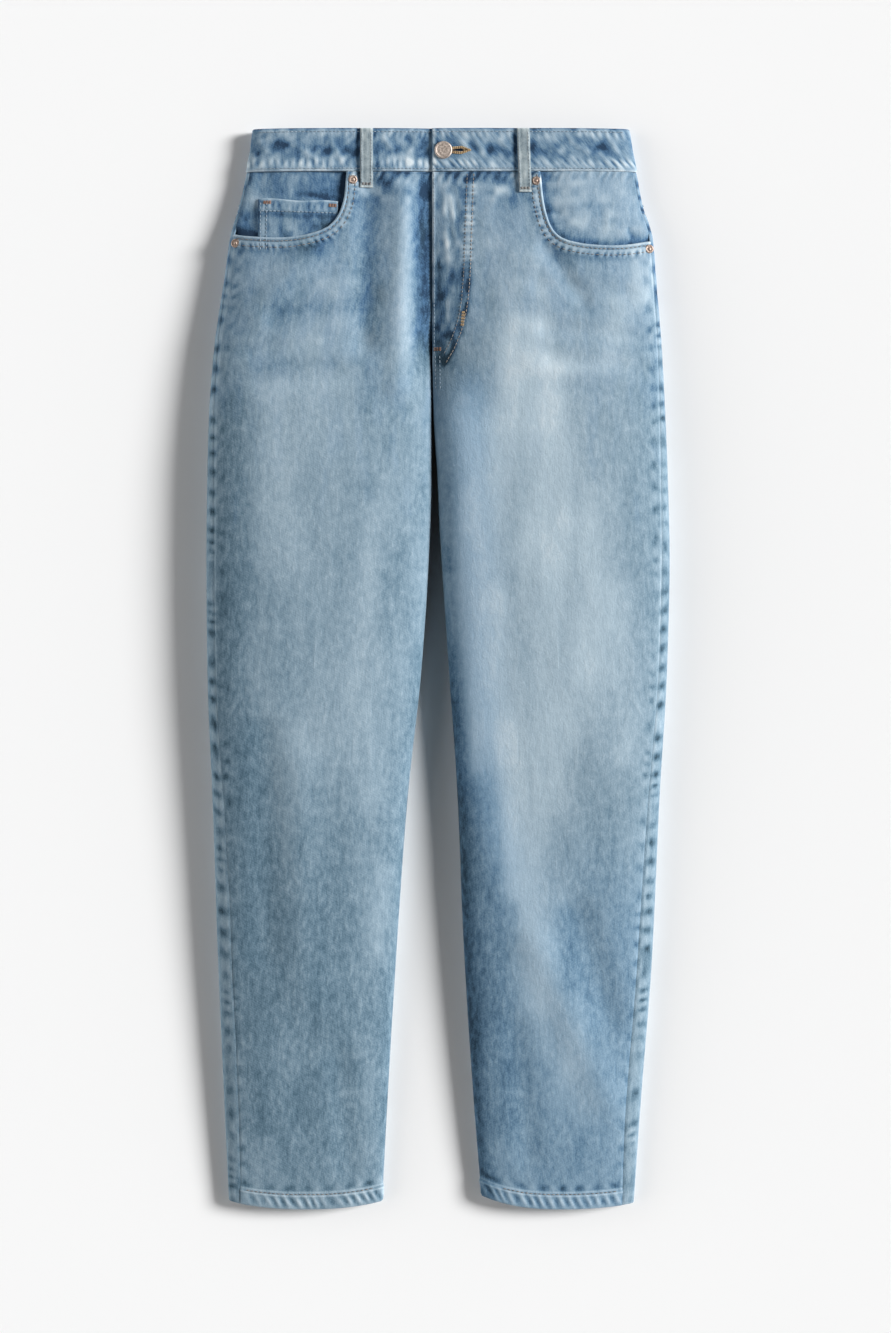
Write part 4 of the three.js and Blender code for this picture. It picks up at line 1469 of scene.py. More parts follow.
@dataclass(frozen=True)
class BackPanel:
    """The back of one leg under the yoke, from the side seam round the edge to the inseam."""

    side: Side
    rows: int = 396
    length: float = 900.0

    def plan(self) -> tuple[Array, Array]:
        """Lays out the grid, row by row from the hem.

        Returns: the form's w and y at each point.
        """
        w = BACK_SPREAD
        top = yoke_seam(self.side, w) - SEAM_GAP
        share = edge_fine(self.rows, self.length)[:, None]
        level = -HALF_LENGTH + share * (top[None, :] + HALF_LENGTH)
        w = np.broadcast_to(w, level.shape)
        across = self.side.value * FORM.back(self.side, w, level)[..., 0]
        return w, level + FORM.hem_rise(self.side, across, level)

    def face(self) -> Face:
        """The outer face with its puckers and wash.

        The underside only has troughs, because it lies flat on the surface.

        Returns: the face.
        """
        w, y = self.plan()
        face = back_face(self.side, w, y)
        x = face.x
        f = FORM.slice(self.side, y)
        visible = 1 - smooth(1.1, 1.6, w)
        seam = f.seam - self.side.value * x
        noise = Unevenness(8 + self.side.value)
        low = 0.12 * noise.over(x / 22, y / 60) * visible
        relief = Relief(low, 0.46 + 0.05 * noise.over(x / 14, y / 40))
        height, wear = side_seam(self.side, y, seam)
        relief.add((height * visible, wear * visible))
        hem = y - FORM.hem(self.side, self.side.value * x)
        relief.add((0.0 * y, 0.12 * bump(hem, 2) - 0.06 * bump(hem - 19, 4)))
        relief.add(self.underside(w, x, y, hem, noise))
        face.wear = relief.wear
        return face.raised(relief.height + rounded_edges(face))

    def underside(self, w: Array, x: Array, y: Array, hem: Array, noise: Unevenness) -> tuple:
        """Troughs and wear of the face that lies down: seat creases, knee folds and hem ticks.

        Args: w, x, y: the grid; hem: heights over the hem; noise: the unevenness.
        Returns: heights in mm and wear.
        """
        below = smooth(1.9, 2.2, w) * (1 - smooth(2.9, 3.1, w))
        seat = 0.5 - 0.5 * np.cos(2 * math.pi * (y / 46 + 0.5 * noise.over(x / 60, y / 80)))
        depth = 0.5 * seat * smooth(180, 240, y) + 0.5 * np.abs(noise.over(x / 30, y / 24))
        ticks = Puckers(9, 5, 0.0, 0.16, 12, -0.8, 1.4, 0.4, 12).over(x, hem)[1]
        fade = 0.1 * bump(x - self.side.value * 115, 45) * bump(y - 150, 220)
        folds = Relief(-depth, ticks + fade - 0.06 * seat)
        folds.crease(x, y, BACK_CREASES)
        return folds.height * below, folds.wear * below


@dataclass(frozen=True)
class Yoke:
    """The piece between waistband and back panel on one side, from side seam to centre back."""

    side: Side
    rows: int = 32
    length: float = 55.0

    def face(self) -> Face:
        """The outer face.

        Returns: the face.
        """
        w = BACK_SPREAD
        low = yoke_seam(self.side, w) + SEAM_GAP
        share = edge_fine(self.rows, self.length)[:, None]
        y = low[None, :] + share * (WAIST_SEAM - SEAM_GAP - low[None, :])
        face = back_face(self.side, np.broadcast_to(w, y.shape), y)
        noise = Unevenness(15 + self.side.value)
        visible = 1 - smooth(1.1, 1.6, w)
        height, wear = Puckers(9, 8, 0.25, 0.12, 3, 0.5, seed=17).over(face.x, WAIST_SEAM - y)
        seam = FORM.slice(self.side, y).seam - self.side.value * face.x
        wear = wear + side_seam(self.side, y, seam)[1] * visible
        face.wear = 0.4 + 0.05 * noise.over(face.x / 12, y / 20) + wear
        return face.raised(height * visible + rounded_edges(face))


# The band's slanting creases and the blue cloth between them. The dark stroke at x 63 to 65 is the
# painted shadow of the left front belt loop, and the dark row at x -14 to -12 is a trough with
# painted shade beside the lap's edge.
BAND_CREASES = creases(
    (
        (-167, 492, -156, 475, 3.0, 0.5, 0.26), (-136, 488, -106, 466, 3.0, 0.6, 0.3),
        (-102, 492, -86, 466, 3.0, 0.6, 0.3), (-52, 494, -40, 477, 3.0, 0.5, 0.3),
        (-15, 492, -30, 474, 3.5, 0.5, 0.26), (-38, 476, -18, 466, 4.0, 0.3, 0.16),
        (18, 492, 36, 470, 3.0, 0.5, 0.3), (33, 492, 45, 473, 2.6, 0.5, 0.26),
        (55, 494, 68, 477, 2.8, 0.5, 0.3), (127, 485, 143, 475, 3.0, 0.5, 0.26),
        (160, 490, 168, 474, 3.0, 0.4, 0.2), (-153, 489, -136, 483, 3.5, -0.4, -0.34),
        (-173, 481, -164, 475, 3.5, -0.4, -0.3), (-112, 487, -98, 474, 4.0, -0.3, -0.26),
        (-88, 486, -76, 471, 5.0, -0.3, -0.24), (-32, 494, -24, 486, 3.5, -0.3, -0.26),
        (-14, 494, -12, 468, 4.0, -0.4, -0.36), (26, 488, 38, 478, 3.0, -0.3, -0.26),
        (44, 488, 50, 474, 4.0, -0.3, -0.24), (89, 479, 104, 477, 3.6, -0.4, -0.26),
        (104, 479, 126, 480, 3.6, 0.3, 0.2), (-166, 482, -118, 481, 8.0, 0.0, -0.1),
        (63, 492, 65, 468, 5.0, 0.0, -0.24), (-14, 492, -12, 468, 3.0, 0.0, 0.12),
        (144, 485, 163, 479, 4.5, -0.4, -0.32), (108, 484, 122, 488, 3.0, -0.3, -0.2),
    ),
    taper=0.3,
)


@dataclass(frozen=True)
class Waistband:
    """The band: from its right end under the lap, round the right side and the back, to the lap.

    Its path at each height follows the form, 0.8 mm outside it, and 1.4 mm over the button's lap.
    """

    columns: int = 134
    front_width: float = 190.0
    under_end: float = 38.0
    slot_start: float = 9.0
    slot_end: float = 29.0

    def rows(self) -> Array:
        """Heights of the grid's rows, closer at both edges and at the buttonhole.

        Returns: the y of each row.
        """
        low, high = WAIST_SEAM + SEAM_GAP, HALF_LENGTH
        near = np.array([0.0, 0.4, 0.9, 1.6])
        hole = BUTTON_AT[1] + np.array([-2.2, -1.5, -0.9, -0.45, 0.0, 0.45, 0.9, 1.5, 2.2])
        below = np.linspace(low + 2.8, hole[0] - 1.3, 12)
        above = np.linspace(hole[-1] + 1.3, high - 2.8, 12)
        rows = np.concatenate([low + near, below, hole, above, high - near[::-1]])
        return rows

    def path(self, y: Array) -> Array:
        """Points of the form along the band at each y, from the end under the lap to the lap.

        Args: y: the rows.
        Returns: the grid's points in mm.
        """
        y = y[:, None]
        low = FORM.slice(Side.RIGHT, y).inseam
        x = np.linspace(self.under_end, 5, 14)[None, :]
        flat = np.stack(np.broadcast_arrays(x, y, low), axis=-1)
        spread = edge_fine(self.columns, self.front_width)[None, :]
        front = {}
        back = {}
        for side in Side:
            seam = FORM.seam_parameter(side, y)
            front[side] = FORM.front(side, -1 + spread * (1 + seam), y)
            w = BACK_SPREAD[(BACK_SPREAD > 0) & (BACK_SPREAD < 3)][None, :]
            back[side] = FORM.back(side, w, y)
        right, left = Side.RIGHT, Side.LEFT
        parts = [flat, front[right], back[right], back[left][:, ::-1], front[left][:, ::-1]]
        return np.concatenate(parts, axis=1)

    def face(self) -> Face:
        """The outer face with its lap, puckers, wash and painted shadows.

        Returns: the face.
        """
        rows = self.rows()
        points = self.path(rows)
        spare = (points.shape[1] - 1) % 2
        points = points[:, spare:]
        normals = grid_normals(points, -1)
        across = lengths_across(points)
        y = np.broadcast_to(rows[:, None], across.shape)
        face = Face(points, normals, across, y, np.zeros_like(y))
        x = face.x
        order = np.arange(points.shape[1])[None, :] > points.shape[1] / 2
        upper = points[..., 2] > FORM.column("edge", y)
        lap = np.where(order & upper, 1 - smooth(*BAND_LAP_END, x), 0.0)
        relief = Relief(BAND_OUT + BAND_LAP * lap, 0.46 + 0.0 * y)
        self.wash(face, relief)
        self.buttonhole(face, lap, relief)
        relief.height = np.where(upper, relief.height, np.minimum(relief.height, BAND_OUT))
        face.wear = relief.wear
        return face.raised(relief.height + rounded_edges(face, 0.8))

    def wash(self, face: Face, relief: Relief) -> None:
        """Adds ticks along both rows of stitches, the slanting creases between them and painted
        shadows by the belt loops.

        Args: face: the band; relief: what is added to.
        """
        s, y = face.across, face.y
        low, high = y - WAIST_SEAM, HALF_LENGTH - y
        noise = Unevenness(51)
        relief.add((0.12 * noise.over(s / 14, y / 9), 0.24 * noise.over((s + y) / 6, (s - y) / 11)))
        relief.add((0.25 * bump(high - 3.5, 3) + 0.2 * bump(low - 4, 4), 0.0))
        relief.add((0.0, 0.1 * bump(high - 5, 4) + 0.16 * bump(low - 7, 6)))
        relief.add((-0.3 * bump(low - 20, 6), -0.16 * bump(low - 21, 6)))
        relief.add((0.0, 0.3 * bump(low - 0.8, 0.9) - 0.3 * bump(high - 0.3, 0.8)))
        relief.add(Puckers(7.2, 4.0, -0.28, -0.3, 7.5, 0.0, 2.0, 0.4, 52, 0.3).over(s, low))
        relief.add(Puckers(7.0, 3.5, 0.2, 0.18, 6, -0.3, 1.0, 0.4, 53).over(s, high))
        relief.crease(face.x, y, BAND_CREASES)
        behind = face.points[..., 2] < FORM.column("edge", y)
        relief.wear = np.where(behind, 0.26 + 0.4 * relief.wear, relief.wear)
        edge = face.x - LAP_X
        relief.add((0.0, 0.4 * bump(edge - 1.4, 1.3) - 0.2 * bump(edge - 5, 0.9)))
        # The dark strip on the left of each front belt loop is the loop's painted shadow; the band
        # is also darker in a fainter strip on its right.
        for middle in (-66.0, 79.3):
            left, right = face.x - middle + 8.0, face.x - middle - 8.5
            relief.add((-0.3 * bump(left, 2.5), -0.4 * bump(left, 2.4) - 0.24 * bump(right, 3)))

    def buttonhole(self, face: Face, lap: Array, relief: Relief) -> None:
        """Sinks a slot with a rounded outer end through the lap, under the button.

        Args: face: the band; lap: 1 on the lap; relief: what is added to.
        """
        x, y = face.x, face.y
        inside = np.minimum(smooth(self.slot_start, self.slot_start + 1.5, x), 1)
        inside = inside * (1 - smooth(self.slot_end - 1.0, self.slot_end + 0.5, x))
        slot = inside * bump(y - BUTTON_AT[1], 0.8) * (lap > 0.5)
        relief.add((-2.2 * slot, -0.4 * slot))


# Pieces on and under the panels.


@dataclass
class Ground:
    """Finished faces that small pieces are laid on, looked up straight from above or below."""

    tree: BVHTree

    @classmethod
    def of(cls, meshes: Sequence[ClothMesh]) -> "Ground":
        """The ground made of several cloth meshes.

        Args: meshes: the cloth meshes.
        Returns: the ground.
        """
        starts = np.cumsum([0] + [len(mesh.points) for mesh in meshes[:-1]])
        points = np.concatenate([mesh.points for mesh in meshes])
        faces = np.concatenate([mesh.faces + start for mesh, start in zip(meshes, starts)])
        return cls(BVHTree.FromPolygons(points.tolist(), faces.tolist(), all_triangles=True))

    def under(self, plan: Array, below: bool = False) -> tuple[Array, Array]:
        """Where upright lines meet the ground first.

        Args:
            plan: x and y of each line, in mm.
            below: looks up from underneath instead of down from above.
        Returns: the points and the outward normals there.
        """
        points, normals = np.zeros((len(plan), 3)), np.zeros((len(plan), 3))
        way = Vector((0, 0, 1 if below else -1))
        for k, (x, y) in enumerate(plan):
            hit, normal, _, _ = self.tree.ray_cast(Vector((x, y, -50 if below else 200)), way)
            points[k] = hit if hit else (x, y, 0)
            normals[k] = normal if hit else (0, 0, -way.z)
        return points, normals


def laid_patch(x: Array, y: Array, height: Callable[[Array, Array], Array]) -> Face:
    """A face over a grid of places seen from above, at the given height over each.

    Args: x, y: the grid; height: gives the height in mm at places.
    Returns: the face.
    """
    points = np.stack([x, y, height(x, y)], axis=-1)
    normals = grid_normals(points, 1.0)
    normals = np.where(normals[..., 2:] < 0, -normals, normals)
    return Face(points, normals, x - x.mean(), y, np.full_like(x, 0.5))


def front_height(side: Side) -> Callable[[Array, Array], Array]:
    """The height of the form's front at places seen from above."""
    return lambda x, y: FORM.front(side, FORM.parameter(side, x, y), y)[..., 2]


FACING_DEPTH = {Side.RIGHT: 3.8, Side.LEFT: 1.8}


def facing_depth(side: Side, x: Array, y: Array) -> Array:
    """How deep the facing lies under the form.

    It is full under the front, less in the opening and next to nothing at the side seam there.

    Args: side: which leg; x, y: places.
    Returns: the depth in mm.
    """
    away, _ = POCKET_EDGE[side].nearest(x, y)
    opening = side.value * away > 0
    depth = FACING_DEPTH[side] - 1.8 * smooth(5, 30, np.abs(away)) * opening
    outer = FORM.slice(side, y).seam - side.value * x
    flush = (1 - smooth(0, 14, outer)) * smooth(2, 9, np.abs(away)) * opening
    return depth * (1 - flush) + 0.1 * flush


@dataclass(frozen=True)
class PocketFacing:
    """The hip piece under a pocket opening, sewn in at waistband and side seam."""

    side: Side
    start: float
    base: float
    wrinkles: tuple[Crease, ...]
    low: float = 366.0
    columns: int = 72
    rows: int = 56
    width: float = 130.0
    length: float = 94.0

    def face(self) -> Face:
        """The outer face, at its depth under the form.

        Returns: the face.
        """
        share = edge_fine(self.rows, self.length)[:, None]
        y = self.low + share * (WAIST_SEAM - SEAM_GAP - self.low)
        start = FORM.parameter(self.side, np.full_like(y, self.side.value * self.start), y)
        seam = FORM.seam_parameter(self.side, y)
        w = start + edge_fine(self.columns, self.width)[None, :] * (seam - start)
        y = np.broadcast_to(y, w.shape)
        points = FORM.front(self.side, w, y)
        normals = grid_normals(points, self.side.value)
        face = Face(points, normals, lengths_across(points), y, np.zeros_like(w))
        x = face.x
        noise = Unevenness(61 + self.side.value)
        mottle = noise.over(x / 9, y / 7)
        relief = Relief(0.12 * noise.over(x / 14, y / 12), self.base + 0.12 * mottle)
        relief.crease(x, y, self.wrinkles)
        waist = WAIST_SEAM - y
        relief.add(Puckers(8, 6, 0.25, 0.1, 2, 0.5, seed=63).over(x, waist))
        away, _ = POCKET_EDGE[self.side].nearest(x, y)
        opening = self.side.value * away
        # Painted shadow of the front's pocket edge on the facing, along the opening.
        relief.add((0.0, -0.34 * bump(opening - 1, 4.5) - 0.12 * bump(opening, 12)))
        outer = FORM.slice(self.side, y).seam - self.side.value * x
        relief.add((-0.25 * bump(outer, 0.9), -0.12 * bump(outer - 1, 2)))
        face.wear = relief.wear
        return face.raised(relief.height - facing_depth(self.side, x, y))


@dataclass(frozen=True)
class CoinPocket:
    """The small pocket on the right facing, with a folded hem along its top edge."""

    left: float = -166.3
    right: float = -92.4
    top: float = 434.5
    tilt: float = -3.0
    low: float = 380.0
    wall: float = 1.2
    clear: float = 0.5
    hem: float = 11.0
    columns: int = 56
    rows: int = 40
    width: float = 74.0
    length: float = 54.0

    def top_at(self, x: Array) -> Array:
        """The y of its top edge, which slopes and waves a little."""
        share = (x - self.left) / (self.right - self.left)
        return self.top + self.tilt * share + 0.7 * np.sin(share * 9.0)

    def mesh(self) -> ClothMesh:
        """The patch, 0.5 mm over the facing.

        Returns: the closed mesh.
        """
        x = self.left + edge_fine(self.columns, self.width) * (self.right - self.left)
        share = edge_fine(self.rows, self.length)[:, None]
        y = self.low + share * (self.top_at(x)[None, :] - self.low)
        x = np.broadcast_to(x, y.shape)
        surface = front_height(Side.RIGHT)
        lift = lambda a, b: surface(a, b) - facing_depth(Side.RIGHT, a, b) + self.clear + self.wall
        face = laid_patch(x, y, lift)
        under = self.top_at(x) - y
        noise = Unevenness(71)
        relief = Relief(0.1 * noise.over(x / 9, y / 9), 0.34 + 0.24 * noise.over(x / 6, y / 8))
        band = 1 - smooth(self.hem - 0.5, self.hem + 0.8, under)
        worn = 0.1 * band + 0.25 * bump(under - 0.4, 1.2) - 0.3 * bump(under - 14.5, 3)
        relief.add((0.5 * band, worn))
        relief.add(Puckers(5.6, 3.0, -0.3, -0.32, 6.4, 0.0, 1.4, 0.6, 72, 0.3).over(x, under))
        # Painted shadow over the right part of the pocket, below its hem band.
        shade = bump((self.right - x) / 20, 1) * smooth(12, 24, under)
        relief.add((0.0, -0.2 * shade))
        near = x - self.left
        worn = 0.12 * bump(near - 4.5, 2) - 0.14 * bump(near - 9, 1.4)
        relief.add((0.2 * bump(near - 4.5, 3), worn))
        relief.add((0.0, -0.2 * bump(near, 1.0)))
        face.wear = relief.wear
        return shell(face.raised(relief.height + rounded_edges(face)), self.wall, 4)


@dataclass(frozen=True)
class BeltLoop:
    """A front belt loop: a folded strip over the waistband, tacked down at both ends."""

    side: Side
    top_x: float
    end_x: float
    end_y: float
    width: float = 12.0
    wall: float = 1.6
    clear: float = 0.45

    def centre(self, y: Array) -> Array:
        """X of its middle line at y."""
        long = HALF_LENGTH - self.end_y
        return self.top_x + (self.end_x - self.top_x) * (HALF_LENGTH - y) / long

    def mesh(self) -> ClothMesh:
        """The strip, arched a little across and higher over the waistband.

        Returns: the closed mesh.
        """
        share = edge_fine(16, self.width, STRIP_FINE)[None, :]
        share_up = edge_fine(60, HALF_LENGTH - self.end_y)[:, None]
        y = self.end_y + share_up * (HALF_LENGTH - 0.4 - self.end_y)
        x = self.centre(y) + (share - 0.5) * self.width
        y = np.broadcast_to(y, x.shape)
        over = smooth(WAIST_SEAM - 8, WAIST_SEAM - 2, y)
        surface = front_height(self.side)
        arch = 0.35 * (1 - (2 * share - 1) ** 2)
        lift = self.clear + BAND_OUT * over + self.wall
        face = laid_patch(x, y, lambda a, b: surface(a, b) + lift + arch)
        noise = Unevenness(81 + self.side.value)
        edge = np.minimum(share, 1 - share) * self.width
        relief = Relief(0.12 * noise.over(x / 5, y / 7), 0.6 + 0.16 * noise.over(x / 4, y / 6))
        worn = 0.14 * bump(edge - 1.6, 1.2) - 0.2 * bump(edge, 0.8)
        relief.add((0.15 * bump(edge - 1.4, 1.2), worn))
        relief.add((-0.12 * bump(edge - 3.8, 0.8), -0.08 * bump(edge - 3.8, 1.0)))
        ends = bump(y - self.end_y, 1.5) + bump(y - HALF_LENGTH, 1.5)
        worn = 0.2 * ends - 0.1 * bump(y - self.end_y - 6, 2.5)
        relief.add((-0.2 * bump(y - self.end_y - 5, 1.5), worn))
        relief.add((-0.3 * bump(y - WAIST_SEAM + 1, 3), -0.05 * bump(y - WAIST_SEAM + 1, 3)))
        face.wear = relief.wear
        return shell(face.raised(relief.height + rounded_edges(face, 0.4)), self.wall, 4)


def flat_piece(x: Array, y: Array, low: float, high: float, wear: Array) -> ClothMesh:
    """A level piece under the back between two heights, with its outer face down.

    Args: x, y: the grid; low, high: its heights in mm; wear: one for each point.
    Returns: the closed mesh.
    """
    points = np.stack([x, y, np.full_like(x, low)], axis=-1)
    normals = np.broadcast_to(np.array([0.0, 0.0, -1.0]), points.shape)
    face = Face(points, normals, x, y, wear)
    edges = rounded_edges(face, 0.3)
    return shell(face.raised(edges), high - low, 2)


@dataclass(frozen=True)
class BackLoop:
    """A belt loop on the back of the waistband, pressed flat by the garment's weight."""

    name: str
    x: float
    width: float = 12.0
    high: float = 1.3
    low: float = 444.0
    length: float = 55.6

    def mesh(self) -> ClothMesh:
        """The strip.

        Returns: the closed mesh.
        """
        x = self.x + (edge_fine(12, self.width, STRIP_FINE)[None, :] - 0.5) * self.width
        y = self.low + edge_fine(40, self.length)[:, None] * self.length
        x, y = np.broadcast_arrays(x, y)
        edge = self.width / 2 - np.abs(x - self.x)
        wear = 0.58 + 0.2 * bump(edge, 1.0) - 0.1 * bump(edge - 3, 1.0)
        return flat_piece(x, y, 0.0, self.high, wear)


@dataclass(frozen=True)
class BackPocket:
    """A patch pocket on the seat, with a hemmed top and a blunt point below."""

    side: Side
    across: float = 104.0
    top: float = 374.0
    width: float = 142.0
    foot: float = 120.0
    edge: float = 128.0
    point: float = 150.0
    wall: float = 1.2
    hem: float = 22.0

    def corner(self, u: Array, v: Array) -> tuple[Array, Array]:
        """X and y of a place: u from -1 to 1 across and v from 0 at the top to 1 at the foot.

        Args: u, v: the places.
        Returns: x and y.
        """
        half = (self.width + (self.foot - self.width) * v) / 2
        long = self.edge + (self.point - self.edge) * (1 - np.abs(u))
        return self.side.value * self.across + u * half, self.top - v * long

    def mesh(self) -> ClothMesh:
        """The patch.

        Returns: the closed mesh.
        """
        u = 2 * edge_fine(72, self.width)[None, :] - 1
        v = 1 - edge_fine(72, self.point)[:, None]
        x, y = self.corner(u, v)
        under = self.top - y
        side_gap = (1 - np.abs(u)) * self.width / 2
        noise = Unevenness(91 + self.side.value)
        wear = 0.5 + 0.05 * noise.over(x / 12, y / 24) + 0.2 * bump(under, 1.5)
        wear = wear + 0.16 * bump(side_gap, 1.6) + 0.14 * bump((1 - v) * self.point, 1.6)
        wear = wear + Puckers(8, 6, 0, 0.14, 19, 0.3, 1.2, 0.4, 92).over(x, under)[1]
        wear = wear + Puckers(8, 4, 0, 0.1, 5, 0.3, 1.2, 0.4, 93).over(y, side_gap)[1]
        return flat_piece(x, y, 0.0, self.wall, wear)


@dataclass(frozen=True)
class UnderFly:
    """A strip under the fly: the zip's tape, or the shield behind it."""

    name: str
    depth: float
    wall: float
    end: float
    low: float
    wear: float
    start: float = 0.3
    length: float = 156.0

    def mesh(self) -> ClothMesh:
        """The strip, at its depth under the left front.

        Returns: the closed mesh.
        """
        x = self.start + edge_fine(8, self.end, (0.0, 0.6))[None, :] * (self.end - self.start)
        share = edge_fine(48, self.length)[:, None]
        y = self.low + share * (WAIST_SEAM - 0.4 - self.low)
        x, y = np.broadcast_arrays(x, y)
        surface = front_height(Side.LEFT)
        face = laid_patch(x, y, lambda a, b: surface(a, b) - self.depth)
        face.wear = np.full_like(x, self.wear)
        return shell(face, self.wall, 4)


# Metal and thread.


def lathe(profile: Sequence[tuple[float, float]], segments: int) -> tuple[Array, Array]:
    """A closed turned body round the Z axis.

    Args:
        profile: radius and height of each corner from the pole below to the pole above, both of
            which lie on the axis.
        segments: number of faces round it.
    Returns: points in mm and triangles.
    """
    rings = np.array(profile[1:-1], float)
    turn = np.arange(segments) * 2 * math.pi / segments
    circle = np.stack([np.cos(turn), np.sin(turn)], axis=-1)
    ring_points = [np.column_stack([circle * r, np.full(segments, z)]) for r, z in rings]
    poles = np.array([[0, 0, profile[0][1]], [0, 0, profile[-1][1]]], float)
    points = np.concatenate([*ring_points, poles])
    k, j = np.arange(segments), np.roll(np.arange(segments), -1)
    low, high = len(points) - 2, len(points) - 1
    faces = [np.stack([j, k, np.full(segments, low)], axis=-1)]
    for ring in range(len(rings) - 1):
        a, b = ring * segments + k, ring * segments + j
        faces.append(np.stack([a, b, b + segments], axis=-1))
        faces.append(np.stack([a, b + segments, a + segments], axis=-1))
    last = (len(rings) - 1) * segments
    faces.append(np.stack([last + k, last + j, np.full(segments, high)], axis=-1))
    return points, np.concatenate(faces)


def turned_to(points: Array, at: Array, normal: Array, out: float) -> Array:
    """Moves points made round the Z axis to a place, with Z along the normal there."""
    turn = Vector((0, 0, 1)).rotation_difference(Vector(normal)).to_matrix()
    return points @ np.array(turn).T + at + unit(np.asarray(normal)) * out


@dataclass(frozen=True)
class Rivet:
    """A pocket rivet: a low ring with a nub in its middle."""

    name: str
    x: float
    y: float
    radius: float = 4.1

    def build(self, ground: Ground, metal: bpy.types.Material) -> bpy.types.Object:
        """Makes the rivet on the front.

        Args: ground: what it is set in; metal: its finish.
        Returns: the object.
        """
        r = self.radius
        profile = (
            (0, -0.6), (r * 0.9, -0.6), (r, -0.1), (r, 0.35), (r * 0.93, 0.7), (r * 0.8, 0.85),
            (r * 0.62, 0.78), (r * 0.48, 0.55), (r * 0.4, 0.6), (r * 0.34, 1.1), (r * 0.2, 1.38),
            (0, 1.42),
        )
        points, faces = lathe(profile, 32)
        at, normal = ground.under(np.array([[self.x, self.y]]))
        face_up = unit(normal[0] + np.array([0, 0, 1.5]))
        placed = turned_to(points, at[0], face_up, 0.35)
        return add_object(self.name + "_metal", placed, faces, metal)


@dataclass(frozen=True)
class Button:
    """A plain jeans button with a raised rim, on a shank that goes through the buttonhole."""

    radius: float = 8.2

    def build(self, ground: Ground, metal: bpy.types.Material) -> bpy.types.Object:
        """Makes the button on the waistband's lap.

        Args: ground: what it is set in; metal: its finish.
        Returns: the object.
        """
        r = self.radius
        profile = (
            (0, -3.0), (1.7, -3.0), (1.7, -0.3), (r * 0.8, -0.35), (r * 0.97, 0.0), (r, 0.6),
            (r * 0.98, 1.2), (r * 0.93, 1.6), (r * 0.86, 1.75), (r * 0.8, 1.65), (r * 0.76, 1.45),
            (r * 0.7, 1.4), (r * 0.52, 1.5), (r * 0.46, 1.62), (r * 0.4, 1.5), (r * 0.2, 1.5),
            (0, 1.5),
        )
        points, faces = lathe(profile, 64)
        at, _ = ground.under(np.array([[BUTTON_AT[0] + 2, BUTTON_AT[1] + 6]]))
        place = np.array([BUTTON_AT[0], BUTTON_AT[1], at[0, 2]])
        tilt = np.array([-0.02, 0.0, 1.0])
        return add_object("button_metal", turned_to(points, place, tilt, 0.5), faces, metal)


